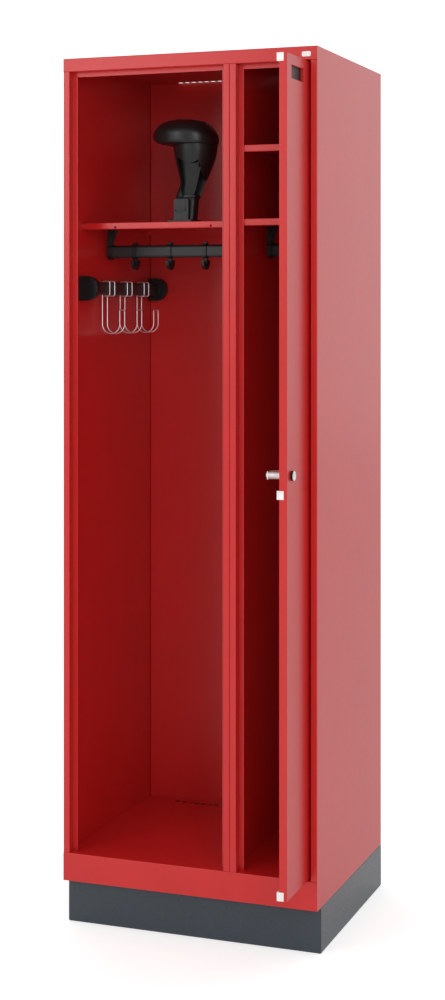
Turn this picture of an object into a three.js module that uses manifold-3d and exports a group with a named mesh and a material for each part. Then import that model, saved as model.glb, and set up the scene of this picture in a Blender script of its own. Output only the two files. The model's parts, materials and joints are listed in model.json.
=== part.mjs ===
// A free-standing sheet-steel wardrobe locker: an open hanging bay with a helmet holder on its hat
// shelf, beside a narrow compartment behind a hinged, lockable door. The door stands open 90 degrees.
// Millimetres, +Z up, +X to the right of someone facing the front, +Y towards the rear.
import * as THREE from 'three';
import { mergeVertices } from 'three/addons/utils/BufferGeometryUtils.js';
import Module from 'manifold-3d';

const wasm = await Module();
wasm.setup();

// ---------------------------------------------------------------- driving dimensions

// Carcass. X is measured from its centre line and Z from the floor; its front face is at Y = FRONT.
const WIDTH = 600;
const DEPTH = 500;
const HEIGHT = 1950;
const SHEET = 1;
const BEND_OUTER = 1.8; // outer radius of every bend in the sheet
const TUCK = 0.8; // how far a web welded into a bent sheet stays inside its outer faces
const GAP = 0.3; // clearance between pieces that touch

const STILE = 15; // face width of the vertical frame members
const REBATE = 22; // depth of the rebate that takes the door
const FLANGE = 10; // stop behind the door, all round but the floor
const TOP_RAIL = 30;
const BOTTOM_RAIL = 63.3;
const REAR_FLANGE = 15;
const FOOT_FLANGE = 20;
const BACK_RECESS = 9; // rear edge to the inner face of the back panel
const PARTITION_X = 100;

const PLINTH_HEIGHT = 100;
const PLINTH_SETBACK = 28;
const PLINTH_SHEET = 2;
const PLINTH_FLANGE = 25;

// Vent slots, one row over each bay in the top and in the floor
const SLOT = { wide: 12.5, deep: 16, corner: 3, pitch: 17.2 };
const TOP_SLOTS_FROM_REAR = 19;
const FLOOR_SLOTS_FROM_REAR = 39;
const LEFT_BAY_SLOTS = 14;
const RIGHT_BAY_SLOTS = 6;

// Badge, a blank plate at the right end of the top rail
const BADGE = { x: 276, z: 1933, wide: 20, tall: 11, radius: 3, thick: 1 };

// Shelves
const SHELF_LIP = 15;
const HAT_SHELF_TOP = 1584;
const UPPER_SHELF_TOP = 1745;
const HAT_SHELF_SETBACK = 95;
const SMALL_SHELF_SETBACK = 24;
const SHELF_HOLE_RADIUS = 2.5;
const HAT_SHELF_HOLES = [-216, 19]; // in its front lip

// Oval tube, and the rails made from it
const TUBE_TALL = 30;
const TUBE_THICK = 15;
const TUBE_WALL = 1.2;
const RAIL_Y = -35;
const RAIL_Z = 1521;
const SIDE_BAR_Z = 1434;
const SIDE_BAR_FROM_WALL = 20;
const SIDE_BAR_FRONT = -175;
const SOCKET_DEPTH = 10;
const SOCKET_CLEARANCE = 0.4;

// Moulded brackets that hang the rails under the shelves
const BRACKET = {
  fromWall: 12, plateLong: 28, plateWide: 44, plateThick: 3, stemWide: 18, endWall: 2, socketWall: 3.5,
  screwAt: 18, screwSpread: 16, screwRadius: 2,
};
const SIDE_BRACKET_DEPTH = 18;
const SIDE_BRACKET_RADIUS = 28;

// Sliding hooks
const HOOK_WIDTH = 10;
const HOOK_WALL = 3;
const HOOK_OUTER = 20;
const HOOK_INNER = 14.5;
const HOOK_DROP = 5; // from the strap to the centre of the two J curves
const RAIL_HOOK_X = [-218, -129.5, -41];
const WIRE = 3;
const WIRE_CLEARANCE = 0.5;
const WIRE_BEND = 5;
const WIRE_SPACING = 28;
const WIRE_HOOK_Y = [-53.5, 47, 147.5];
const WIRE_HOOK_BOTTOM = 1326.5;
const WIRE_HOOK_TIP = 1384;
const WIRE_HOOK_RADIUS = 22.2;

// Door, drawn closed: width from the hinge axis to the free edge, thickness from the outer face
const HINGE_X = 271;
const HINGE_FROM_FACE = 10;
const DOOR_REACH = 154;
const DOOR_PAST_HINGE = 9.3;
const DOOR_THICKNESS = 16.7;
const DOOR_BOTTOM = 166;
const DOOR_TOP = 1917;
const DOOR_OPEN = Math.PI / 2;
const PIN_RADIUS = 4;
const PIN_CLEARANCE = 0.3;
const BUSH_RADIUS = 5.3;

const LOCK_FROM_EDGE = 31;
const LOCK_Z = 1041;
const LOCK_PROUD = 7;
const LOCK_INSIDE = 32; // barrel length behind the door's inner face
const LOCK_RADIUS = {
  rosette: 10.5, flange: 10.2, barrel: 8.6, bore: 6.3, core: 6, nut: 13, screw: 6, shaft: 4, shaftHole: 4.5,
};
const LOCK_FLANGE_THICK = 1.5; // the barrel's flange covers the rosette
const CORE_PROUD = 0.5;
const KEY_SLOT = { wide: 1.8, tall: 7, deep: 6 };
const CAM = { thick: 2.5, wide: 17, crank: 20 };

// The label window is measured from the free edge.
const LABEL_WINDOW = { near: 30, far: 109, bottom: 1867, top: 1896, depth: 6.5 };

// Bumpers clip over the free edge: lip thickness outside it, lip length, and how far they stand inwards
const BUMPER = { lip: 1, lipLong: 10, across: 10, base: 3, proud: 5, corner: 2 };

// Helmet holder
const HOLDER_Y = -30;
const BASE_LEFT = -129;
const BASE_RIGHT = -62;
const BASE_DEPTH = 72;
const BASE_THICK = 8;
const FOOT_LEFT = -112;
const FOOT_RIGHT = -76;
const FOOT_TOP = 1642;
const FOOT_END_WALL = 4;
const FOOT_DEPTH = 50;
const STEM_DEPTH = 31;
const HOLDER_PIN = 2.2;
const HOLDER_PIN_HOLE = 2.6;
const HOLDER_SCREW = { shank: 1.9, hole: 2.3, head: 3.8, headTall: 2.2, fromEdge: 8.5 };
const HEAD_UNDERSIDE = 1764;
const HEAD = { x: -92.5, z: 1791.5, long: 79, deep: 58, tall: 37 }; // half axes of the dome

// Hinges: plates inside the frame, and headed pins that reach into the ends of the door
const HINGE_PLATE = { towardsDoor: 16, towardsStile: 12, front: 8, rear: 10, thick: 3 };
const HINGE_HEAD = { radius: 6.5, thick: 2.5 };
const PIN_REACH = 12;

// ---------------------------------------------------------------- derived places

const FRONT = -DEPTH / 2;
const REAR = DEPTH / 2;
const LEFT = -WIDTH / 2;
const RIGHT = WIDTH / 2;
const FLOOR_Z = PLINTH_HEIGHT + BOTTOM_RAIL;
const BACK_FACE = REAR - BACK_RECESS;
const FLANGE_FACE = FRONT + REBATE;
const RAIL_BOTTOM = HEIGHT - TOP_RAIL;
const BEHIND_FACE = FRONT + SHEET + 0.1; // just behind the front face sheet
const HINGE_Y = FRONT + HINGE_FROM_FACE;
const HINGE_AT = [HINGE_X, HINGE_Y];
const PIN_HOLE = PIN_RADIUS + PIN_CLEARANCE;
const SHELF_UNDERSIDE = HAT_SHELF_TOP - SHEET - GAP;
const WALL = SHEET + GAP; // from a side panel's outer face to a neighbour inside it

// ---------------------------------------------------------------- materials

function finish(color, roughness, metalness) {
  return new THREE.MeshStandardMaterial({ color, roughness, metalness });
}
const redPaint = finish(0xc23b3c, 0.45, 0);
const greyPaint = finish(0x3d4148, 0.55, 0);
const blackPlastic = finish(0x1d1f20, 0.5, 0);
const whitePlastic = finish(0xe8e8e4, 0.5, 0);
const chrome = finish(0xd8d8da, 0.15, 1);
const zinc = finish(0xd2d4d2, 0.4, 1);

// ---------------------------------------------------------------- geometry helpers

function box(x0, x1, y0, y1, z0, z1) {
  const geometry = new THREE.BoxGeometry(x1 - x0, y1 - y0, z1 - z0);
  return geometry.translate((x0 + x1) / 2, (y0 + y1) / 2, (z0 + z1) / 2);
}

function extruded(shape, depth, curveSegments = 5) {
  return new THREE.ExtrudeGeometry(shape, { depth, bevelEnabled: false, curveSegments });
}

// Extrusions along each axis: the shape's own x and y are world (x, y), (y, z) and (x, z) in turn.
function alongZ(shape, z0, z1, curveSegments) {
  return extruded(shape, z1 - z0, curveSegments).translate(0, 0, z0);
}

function alongX(shape, x0, x1, curveSegments) {
  const turn = new THREE.Matrix4().makeBasis(
    new THREE.Vector3(0, 1, 0),
    new THREE.Vector3(0, 0, 1),
    new THREE.Vector3(1, 0, 0),
  );
  return extruded(shape, x1 - x0, curveSegments).applyMatrix4(turn).translate(x0, 0, 0);
}

function alongY(shape, y0, y1, curveSegments) {
  return extruded(shape, y1 - y0, curveSegments).rotateX(Math.PI / 2).translate(0, y1, 0);
}

// A cylinder or prism between two levels of the given axis
function rod(axis, radius, centre, from, to, sides = 20) {
  const geometry = new THREE.CylinderGeometry(radius, radius, to - from, sides);
  const middle = (from + to) / 2;
  if (axis === 'x') return geometry.rotateZ(-Math.PI / 2).translate(middle, centre[0], centre[1]);
  if (axis === 'y') return geometry.translate(centre[0], middle, centre[1]);
  return geometry.rotateX(Math.PI / 2).translate(centre[0], centre[1], middle);
}

function toSolid(geometry) {
  const bare = geometry.clone();
  bare.deleteAttribute('normal');
  bare.deleteAttribute('uv');
  const merged = mergeVertices(bare, 1e-4);
  return new wasm.Manifold(new wasm.Mesh({
    numProp: 3,
    vertProperties: merged.attributes.position.array,
    triVerts: new Uint32Array(merged.index.array),
  }));
}

function toGeometry(solid) {
  const mesh = solid.getMesh();
  const geometry = new THREE.BufferGeometry();
  geometry.setAttribute('position', new THREE.BufferAttribute(new Float32Array(mesh.vertProperties), 3));
  geometry.setIndex(new THREE.BufferAttribute(new Uint32Array(mesh.triVerts), 1));
  return geometry;
}

function cut(geometry, tools) {
  let solid = toSolid(geometry);
  for (const tool of tools) solid = solid.subtract(toSolid(tool));
  return toGeometry(solid);
}

function join(geometries) {
  let solid = toSolid(geometries[0]);
  for (const other of geometries.slice(1)) solid = solid.add(toSolid(other));
  return toGeometry(solid);
}

// The closed outline of a bent sheet. The points lie on one of its faces, side +1 puts the metal to the
// left of the way they run and -1 to the right, and every corner becomes a bend.
function bentSheet(points, side, thickness = SHEET) {
  const steps = 3;
  const outer = BEND_OUTER * thickness / SHEET;
  const nodes = points.map(([u, v]) => new THREE.Vector2(u, v));
  const near = [];
  const far = [];
  const add = (point, normal) => {
    near.push(point);
    far.push(point.clone().addScaledVector(normal, thickness));
  };
  const leftOf = (way) => new THREE.Vector2(-way.y, way.x).multiplyScalar(side);
  const ways = nodes.slice(1).map((node, i) => node.clone().sub(nodes[i]).normalize());
  add(nodes[0], leftOf(ways[0]));
  for (let i = 1; i < nodes.length - 1; i += 1) {
    const turn = Math.atan2(ways[i - 1].cross(ways[i]), ways[i - 1].dot(ways[i]));
    const radius = Math.sign(turn) === side ? outer : outer - thickness;
    const setback = radius * Math.tan(Math.abs(turn) / 2);
    const start = nodes[i].clone().addScaledVector(ways[i - 1], -setback);
    const toCentre = leftOf(ways[i - 1]).multiplyScalar(side * Math.sign(turn) * radius);
    const centre = start.clone().add(toCentre);
    for (let step = 0; step <= steps; step += 1) {
      const angle = turn * step / steps;
      const point = start.clone().rotateAround(centre, angle);
      add(point, leftOf(ways[i - 1]).rotateAround(new THREE.Vector2(), angle));
    }
  }
  add(nodes.at(-1), leftOf(ways.at(-1)));
  return new THREE.Shape([...near, ...far.reverse()]);
}

// An upright oval (straight flanks, half-round top and bottom) about (u, v)
function oval(PathClass, u, v, thick, tall) {
  const radius = thick / 2;
  const flank = tall / 2 - radius;
  const path = new PathClass();
  path.absarc(u, v + flank, radius, 0, Math.PI, false);
  path.absarc(u, v - flank, radius, Math.PI, 2 * Math.PI, false);
  path.closePath();
  return path;
}

// The tube's oval grown all round by margin
function tubeOval(PathClass, u, v, margin) {
  return oval(PathClass, u, v, TUBE_THICK + 2 * margin, TUBE_TALL + 2 * margin);
}

function ovalTube(u, v) {
  const shape = tubeOval(THREE.Shape, u, v, 0);
  shape.holes.push(tubeOval(THREE.Path, u, v, -TUBE_WALL));
  return shape;
}

function polygon(points) {
  return new THREE.Shape(points.map(([u, v]) => new THREE.Vector2(u, v)));
}

function reversed(shape) {
  return new THREE.Shape(shape.getPoints().reverse());
}

// The two ends of a stretch that starts at origin and runs in direction +1 or -1, lower one first
function span(origin, direction, from, to) {
  return [origin + direction * from, origin + direction * to].sort((a, b) => a - b);
}

function roundedPlate(u, v, wide, tall, radius) {
  const shape = new THREE.Shape();
  const right = u + wide / 2 - radius;
  const left = u - wide / 2 + radius;
  const high = v + tall / 2 - radius;
  const low = v - tall / 2 + radius;
  shape.absarc(right, low, radius, -Math.PI / 2, 0, false);
  shape.absarc(right, high, radius, 0, Math.PI / 2, false);
  shape.absarc(left, high, radius, Math.PI / 2, Math.PI, false);
  shape.absarc(left, low, radius, Math.PI, 3 * Math.PI / 2, false);
  shape.closePath();
  return shape;
}

// ---------------------------------------------------------------- scene graph

const locker = new THREE.Group();
const carcass = new THREE.Group();
const door = new THREE.Group();
locker.add(carcass, door);

function part(name, geometry, material, group = carcass) {
  const mesh = new THREE.Mesh(geometry, material);
  mesh.name = name;
  group.add(mesh);
  return mesh;
}

// ---------------------------------------------------------------- carcass sheets

// Side panels and partition skins share one section: inner flange, rebate wall, stile, wall and a rear
// flange. inward is +1 where the bay lies towards +X.
function uprightSection(outerX, inward, rearY) {
  const at = (u) => outerX + inward * u;
  return bentSheet([
    [at(STILE + FLANGE), FLANGE_FACE],
    [at(STILE), FLANGE_FACE],
    [at(STILE), FRONT],
    [at(0), FRONT],
    [at(0), rearY],
    [at(REAR_FLANGE), rearY],
  ], -inward);
}

// Room for the top panel's rail, rebate and flange at the head of an upright. Where its wall is the
// outside of the locker, the wall runs on behind the rail.
function headCuts(outerX, inward, wallRunsOn) {
  const across = span(outerX, inward, wallRunsOn ? WALL : -SHEET, 2 * STILE + FLANGE);
  const behindFlange = FLANGE_FACE + WALL;
  const railLevel = RAIL_BOTTOM - GAP;
  const cuts = [
    box(...across, FLANGE_FACE - GAP, behindFlange, railLevel - FLANGE, HEIGHT),
    box(...across, FRONT - SHEET, behindFlange, railLevel, HEIGHT),
  ];
  if (wallRunsOn) {
    const corner = span(outerX, inward, -SHEET, 2 * WALL);
    cuts.push(box(...corner, FRONT - SHEET, FRONT + WALL, railLevel, HEIGHT));
  }
  return cuts;
}

function sidePanel(name, outerX, inward) {
  const section = uprightSection(outerX, inward, REAR);
  const footLevel = FLOOR_Z + GAP;
  const behindStile = span(outerX, inward, WALL, 2 * STILE + FLANGE);
  const corner = span(outerX, inward, -SHEET, 2 * WALL);
  const footCuts = [
    box(...behindStile, FRONT - SHEET, FLANGE_FACE + 2 * WALL, 0, footLevel),
    box(...corner, FRONT - SHEET, FRONT + WALL, 0, footLevel),
  ];
  const standing = cut(alongZ(section, PLINTH_HEIGHT + GAP, HEIGHT - WALL), [
    ...headCuts(outerX, inward, true),
    ...footCuts,
  ]);
  const footX = span(outerX, inward, SHEET / 2, FOOT_FLANGE);
  const footZ = [PLINTH_HEIGHT + GAP, PLINTH_HEIGHT + GAP + SHEET];
  const foot = box(...footX, FRONT + 2 * STILE, BACK_FACE - 2 * GAP, ...footZ);
  part(name, join([standing, foot]), redPaint);
}
sidePanel('left_side_panel', LEFT, 1);
sidePanel('right_side_panel', RIGHT, -1);

function partitionSkin(name, outerX, inward) {
  const section = uprightSection(outerX, inward, BACK_FACE - GAP);
  const standing = alongZ(section, FLOOR_Z + GAP, HEIGHT - WALL);
  part(name, cut(standing, headCuts(outerX, inward, false)), redPaint);
}
partitionSkin('partition_left_skin', PARTITION_X - GAP / 2, -1);
partitionSkin('partition_right_skin', PARTITION_X + GAP / 2, 1);

// One row of rounded vent slots over a bay, through a horizontal sheet
function ventSlots(bayCentre, count, fromRear, z) {
  return Array.from({ length: count }, (_, i) => {
    const x = bayCentre + (i - (count - 1) / 2) * SLOT.pitch;
    const slot = roundedPlate(x, REAR - fromRear, SLOT.wide, SLOT.deep, SLOT.corner);
    return alongZ(slot, z - 2 * SHEET, z + SHEET, 2);
  });
}
const leftBayCentre = (LEFT + PARTITION_X) / 2;
const rightBayCentre = (PARTITION_X + RIGHT) / 2;

function topPanel() {
  const section = bentSheet([
    [FLANGE_FACE, RAIL_BOTTOM - FLANGE],
    [FLANGE_FACE, RAIL_BOTTOM],
    [FRONT, RAIL_BOTTOM],
    [FRONT, HEIGHT],
    [REAR, HEIGHT],
    [REAR, HEIGHT - REAR_FLANGE],
  ], -1);
  const underLid = HEIGHT - SHEET;
  const cuts = [rod('z', PIN_HOLE, HINGE_AT, RAIL_BOTTOM - SHEET, RAIL_BOTTOM + 2 * SHEET)];
  for (const inward of [1, -1]) {
    const outer = -inward * WIDTH / 2;
    const overWall = span(outer, inward, -SHEET, WALL);
    const overRearFlange = span(outer, inward, -SHEET, REAR_FLANGE + GAP);
    cuts.push(box(...overWall, BEHIND_FACE, REAR + SHEET, RAIL_BOTTOM - 2 * FLANGE, underLid));
    cuts.push(box(...overRearFlange, REAR - 2 * SHEET, REAR + SHEET, HEIGHT - 2 * REAR_FLANGE, underLid));
  }
  cuts.push(...ventSlots(leftBayCentre, LEFT_BAY_SLOTS, TOP_SLOTS_FROM_REAR, HEIGHT));
  cuts.push(...ventSlots(rightBayCentre, RIGHT_BAY_SLOTS, TOP_SLOTS_FROM_REAR, HEIGHT));
  part('top_panel', cut(alongX(section, LEFT, RIGHT), cuts), redPaint);
}
topPanel();

function floorPanel() {
  const base = PLINTH_HEIGHT + GAP;
  const section = bentSheet([
    [FRONT + FOOT_FLANGE, base],
    [FRONT, base],
    [FRONT, FLOOR_Z],
    [BACK_FACE - GAP, FLOOR_Z],
  ], -1);
  const cuts = [
    rod('z', PIN_HOLE, HINGE_AT, FLOOR_Z - 2 * SHEET, FLOOR_Z + SHEET),
    box(LEFT - SHEET, LEFT + WALL, BEHIND_FACE, REAR, 0, FLOOR_Z + SHEET),
    box(RIGHT - WALL, RIGHT + SHEET, BEHIND_FACE, REAR, 0, FLOOR_Z + SHEET),
  ];
  cuts.push(...ventSlots(leftBayCentre, LEFT_BAY_SLOTS, FLOOR_SLOTS_FROM_REAR, FLOOR_Z));
  cuts.push(...ventSlots(rightBayCentre, RIGHT_BAY_SLOTS, FLOOR_SLOTS_FROM_REAR, FLOOR_Z));
  part('floor_panel', cut(alongX(section, LEFT, RIGHT), cuts), redPaint);
}
floorPanel();

const backSection = bentSheet([
  [LEFT + WALL, REAR - WALL],
  [LEFT + WALL, BACK_FACE],
  [RIGHT - WALL, BACK_FACE],
  [RIGHT - WALL, REAR - WALL],
], 1);
part('back_panel', alongZ(backSection, PLINTH_HEIGHT + GAP, HEIGHT - WALL), redPaint);

// ---------------------------------------------------------------- shelves

// A shelf tray between two walls: front lip with a return, rear flange and side flanges
function shelf(name, x0, x1, frontY, topZ, holes = []) {
  const rearY = BACK_FACE - 2 * REAR_FLANGE;
  const low = topZ - SHELF_LIP;
  const section = bentSheet([
    [frontY + FLANGE, low],
    [frontY, low],
    [frontY, topZ],
    [rearY, topZ],
    [rearY, low],
  ], -1);
  const tray = join([
    alongX(section, x0, x1),
    box(x0, x0 + SHEET, frontY + TUCK, rearY - TUCK, low + TUCK, topZ - TUCK),
    box(x1 - SHEET, x1, frontY + TUCK, rearY - TUCK, low + TUCK, topZ - TUCK),
  ]);
  const holeLevel = low + SHELF_LIP * 0.3;
  const drills = holes.map((x) => {
    return rod('y', SHELF_HOLE_RADIUS, [x, holeLevel], frontY - SHEET, frontY + 2 * SHEET, 12);
  });
  part(name, cut(tray, drills), redPaint);
}
const leftBay = [LEFT + WALL, PARTITION_X - GAP / 2 - WALL];
const rightBay = [PARTITION_X + GAP / 2 + WALL, RIGHT - WALL];
shelf('hat_shelf', ...leftBay, FRONT + HAT_SHELF_SETBACK, HAT_SHELF_TOP, HAT_SHELF_HOLES);
shelf('small_shelf_upper', ...rightBay, FRONT + SMALL_SHELF_SETBACK, UPPER_SHELF_TOP);
shelf('small_shelf_lower', ...rightBay, FRONT + SMALL_SHELF_SETBACK, HAT_SHELF_TOP);

// ---------------------------------------------------------------- plinth

// A C-channel lying along X with its web towards -Y, mitred at both ends
function plinthChannel(length) {
  const section = bentSheet([
    [PLINTH_FLANGE, 0],
    [0, 0],
    [0, PLINTH_HEIGHT],
    [PLINTH_FLANGE, PLINTH_HEIGHT],
  ], -1, PLINTH_SHEET);
  const reach = 2 * PLINTH_FLANGE;
  const mitre = (end) => {
    const wedge = polygon([[0, -reach], [0, 0], [-reach, reach], [reach, reach], [reach, -reach]]);
    const geometry = alongZ(wedge, -1, PLINTH_HEIGHT + 1).translate(length / 2 - GAP / 2, 0, 0);
    return end < 0 ? geometry.rotateY(Math.PI).translate(0, 0, PLINTH_HEIGHT) : geometry;
  };
  return cut(alongX(section, -length / 2, length / 2), [mitre(1), mitre(-1)]);
}

function plinthSide(name, length, x, y, turn) {
  const mesh = part(name, plinthChannel(length), greyPaint);
  mesh.position.set(x, y, 0);
  mesh.rotation.z = turn;
}
const plinthFront = FRONT + PLINTH_SETBACK;
const plinthMiddle = (plinthFront + REAR) / 2;
const plinthDepth = REAR - plinthFront;
plinthSide('plinth_front', WIDTH, 0, plinthFront, 0);
plinthSide('plinth_right', plinthDepth, RIGHT, plinthMiddle, Math.PI / 2);
plinthSide('plinth_rear', WIDTH, 0, REAR, Math.PI);
plinthSide('plinth_left', plinthDepth, LEFT, plinthMiddle, -Math.PI / 2);

// ---------------------------------------------------------------- badge

const badgePlate = roundedPlate(BADGE.x, BADGE.z, BADGE.wide, BADGE.tall, BADGE.radius);
part('badge', alongY(badgePlate, FRONT - GAP - BADGE.thick, FRONT - GAP), whitePlastic);

// ---------------------------------------------------------------- wardrobe rails

// A bracket that hangs under a shelf and holds one end of a rail. Its distances run from its closed end
// into the bay, and outward is +1 at the rail's right end.
function railBracket(name, closedEnd, outward) {
  const along = (from, to) => span(closedEnd, -outward, from, to);
  const at = (u) => closedEnd - outward * u;
  const socket = BRACKET.endWall + SOCKET_DEPTH;
  const halfPlate = BRACKET.plateWide / 2;
  const halfStem = BRACKET.stemWide / 2;
  const plateBottom = SHELF_UNDERSIDE - BRACKET.plateThick;
  const plate = box(
    ...along(0, BRACKET.plateLong),
    RAIL_Y - halfPlate,
    RAIL_Y + halfPlate,
    plateBottom,
    SHELF_UNDERSIDE,
  );
  const stemOutline = polygon([
    [at(0), RAIL_Z],
    [at(10), RAIL_Z],
    [at(10), RAIL_Z + 25],
    [at(14), RAIL_Z + 39],
    [at(26), plateBottom + 1],
    [at(0), plateBottom + 1],
  ]);
  const outline = outward < 0 ? stemOutline : reversed(stemOutline);
  const stem = alongY(outline, RAIL_Y - halfStem, RAIL_Y + halfStem);
  const cup = alongX(tubeOval(THREE.Shape, RAIL_Y, RAIL_Z, BRACKET.socketWall), ...along(0, socket));
  const mouth = alongX(
    tubeOval(THREE.Shape, RAIL_Y, RAIL_Z, SOCKET_CLEARANCE),
    ...along(BRACKET.endWall, socket + 1),
  );
  const screws = [-1, 1].map((side) => {
    const place = [at(BRACKET.screwAt), RAIL_Y + side * BRACKET.screwSpread];
    return rod('z', BRACKET.screwRadius, place, plateBottom - 1, HAT_SHELF_TOP, 12);
  });
  part(name, cut(join([plate, stem, cup]), [mouth, ...screws]), blackPlastic);
}

function wardrobeRail(side, leftEnd, rightEnd) {
  railBracket(`${side}_rail_bracket_left`, leftEnd, -1);
  railBracket(`${side}_rail_bracket_right`, rightEnd, 1);
  const inset = BRACKET.endWall + GAP;
  part(`${side}_rail`, alongX(ovalTube(RAIL_Y, RAIL_Z), leftEnd + inset, rightEnd - inset, 6), blackPlastic);
}
wardrobeRail('left', leftBay[0] + BRACKET.fromWall, leftBay[1] - BRACKET.fromWall);
wardrobeRail('right', rightBay[0] + BRACKET.fromWall, rightBay[1] - BRACKET.fromWall);

// A plastic hook that slides along the rail: a closed strap with an anchor-shaped double hook under it
function railHook(name, x) {
  const around = SOCKET_CLEARANCE + HOOK_WALL;
  const strapTop = RAIL_Z + TUBE_TALL / 2 + around;
  const strapBottom = RAIL_Z - TUBE_TALL / 2 - around;
  const strap = tubeOval(THREE.Shape, RAIL_Y, RAIL_Z, around);
  strap.holes.push(tubeOval(THREE.Path, RAIL_Y, RAIL_Z, SOCKET_CLEARANCE));
  const hookCentre = strapBottom - HOOK_DROP;
  const hooks = new THREE.Shape();
  hooks.absarc(RAIL_Y, hookCentre, HOOK_OUTER, Math.PI, 2 * Math.PI, false);
  hooks.absarc(RAIL_Y, hookCentre, HOOK_INNER, 2 * Math.PI, Math.PI, true);
  hooks.closePath();
  const stem = polygon([
    [RAIL_Y - 3.5, strapBottom + 2],
    [RAIL_Y - 9, hookCentre - 13],
    [RAIL_Y + 9, hookCentre - 13],
    [RAIL_Y + 3.5, strapBottom + 2],
  ]);
  const eye = polygon([
    [RAIL_Y, hookCentre],
    [RAIL_Y - 4.5, hookCentre - 10],
    [RAIL_Y + 4.5, hookCentre - 10],
  ]);
  const x0 = x - HOOK_WIDTH / 2;
  const x1 = x + HOOK_WIDTH / 2;
  const bump = box(x0, x1, RAIL_Y - 4, RAIL_Y + 4, strapTop - 2, strapTop + HOOK_WALL);
  const body = join([alongX(strap, x0, x1, 6), alongX(hooks, x0, x1, 10), alongX(stem, x0, x1), bump]);
  part(name, cut(body, [alongX(eye, x0 - 1, x1 + 1)]), blackPlastic);
}
RAIL_HOOK_X.forEach((x, i) => railHook(`rail_hook_${i + 1}`, x));

// ---------------------------------------------------------------- side bar on the left wall

const wallFace = LEFT + SHEET;
const barX = wallFace + SIDE_BAR_FROM_WALL;

// The bracket's D: flat against the wall, half round towards the bay
function sideBracket(name, y0, mouthTowardsRear) {
  const y1 = y0 + SIDE_BRACKET_DEPTH;
  const flat = wallFace + GAP;
  const shape = new THREE.Shape();
  shape.moveTo(flat, SIDE_BAR_Z - SIDE_BRACKET_RADIUS);
  shape.absarc(barX, SIDE_BAR_Z, SIDE_BRACKET_RADIUS, -Math.PI / 2, Math.PI / 2, false);
  shape.lineTo(flat, SIDE_BAR_Z + SIDE_BRACKET_RADIUS);
  shape.closePath();
  const mouth = tubeOval(THREE.Shape, barX, SIDE_BAR_Z, SOCKET_CLEARANCE);
  const socket = mouthTowardsRear ? [y1 - SOCKET_DEPTH, y1 + 1] : [y0 - 1, y0 + SOCKET_DEPTH];
  part(name, cut(alongY(shape, y0, y1, 12), [alongY(mouth, ...socket)]), blackPlastic);
}
const barRear = BACK_FACE - GAP;
const barInset = SIDE_BRACKET_DEPTH - SOCKET_DEPTH + GAP;
sideBracket('side_bar_bracket_front', SIDE_BAR_FRONT, true);
sideBracket('side_bar_bracket_rear', barRear - SIDE_BRACKET_DEPTH, false);
const sideBar = alongY(ovalTube(barX, SIDE_BAR_Z), SIDE_BAR_FRONT + barInset, barRear - barInset, 6);
part('side_bar', sideBar, blackPlastic);

// A double-wire hook on the bar: each wire wraps the tube and runs down into a J, and the two Js are one
// wire joined by a bow at the tip.
class RoundedWire extends THREE.CurvePath {
  constructor(points, radius) {
    super();
    let from = points[0];
    for (let i = 1; i < points.length - 1; i += 1) {
      const before = points[i].clone().sub(points[i - 1]);
      const after = points[i + 1].clone().sub(points[i]);
      const reach = Math.min(radius, before.length() / 2, after.length() / 2);
      const start = points[i].clone().addScaledVector(before.normalize(), -reach);
      const end = points[i].clone().addScaledVector(after.normalize(), reach);
      this.add(new THREE.LineCurve3(from, start));
      this.add(new THREE.QuadraticBezierCurve3(start, points[i], end));
      from = end;
    }
    this.add(new THREE.LineCurve3(from, points.at(-1)));
  }
}

function wireHook(name, y) {
  const clear = WIRE_CLEARANCE + WIRE / 2;
  const near = barX - TUBE_THICK / 2 - clear;
  const far = barX + TUBE_THICK / 2 + clear;
  const over = SIDE_BAR_Z + TUBE_TALL / 2 + clear;
  const under = SIDE_BAR_Z - TUBE_TALL / 2 - clear;
  const legY = WIRE_SPACING / 2;
  const bottom = WIRE_HOOK_BOTTOM + WIRE / 2;
  const jCentre = bottom + WIRE_HOOK_RADIUS;
  const tipX = near + 2 * WIRE_HOOK_RADIUS;
  const oneSide = [
    [near + 1.5 * WIRE, under],
    [far, under],
    [far, over],
    [near, over],
    [near, jCentre],
  ];
  const curveSteps = 6;
  for (let i = 1; i < curveSteps; i += 1) {
    const angle = Math.PI * (1 + i / curveSteps);
    const middle = near + WIRE_HOOK_RADIUS;
    oneSide.push([middle + WIRE_HOOK_RADIUS * Math.cos(angle), jCentre + WIRE_HOOK_RADIUS * Math.sin(angle)]);
  }
  oneSide.push([tipX, jCentre], [tipX, WIRE_HOOK_TIP]);
  const front = oneSide.map(([x, z]) => new THREE.Vector3(x, y - legY, z));
  const rear = oneSide.map(([x, z]) => new THREE.Vector3(x, y + legY, z)).reverse();
  const extrudePath = new RoundedWire([...front, ...rear], WIRE_BEND);
  const section = new THREE.Shape().absarc(0, 0, WIRE / 2, 0, 2 * Math.PI, false);
  const options = { steps: 96, curveSegments: 3, extrudePath, bevelEnabled: false };
  part(name, new THREE.ExtrudeGeometry(section, options), chrome);
}
WIRE_HOOK_Y.forEach((y, i) => wireHook(`wire_hook_${i + 1}`, y));

// ---------------------------------------------------------------- helmet holder

const shelfTop = HAT_SHELF_TOP + GAP;
const footBase = shelfTop + BASE_THICK;

const foot = [HOLDER_Y - FOOT_DEPTH / 2, HOLDER_Y + FOOT_DEPTH / 2];
const holderPins = [FOOT_LEFT + 5.5, FOOT_RIGHT - 6].map((x) => [x, FOOT_TOP - 26]);

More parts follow.
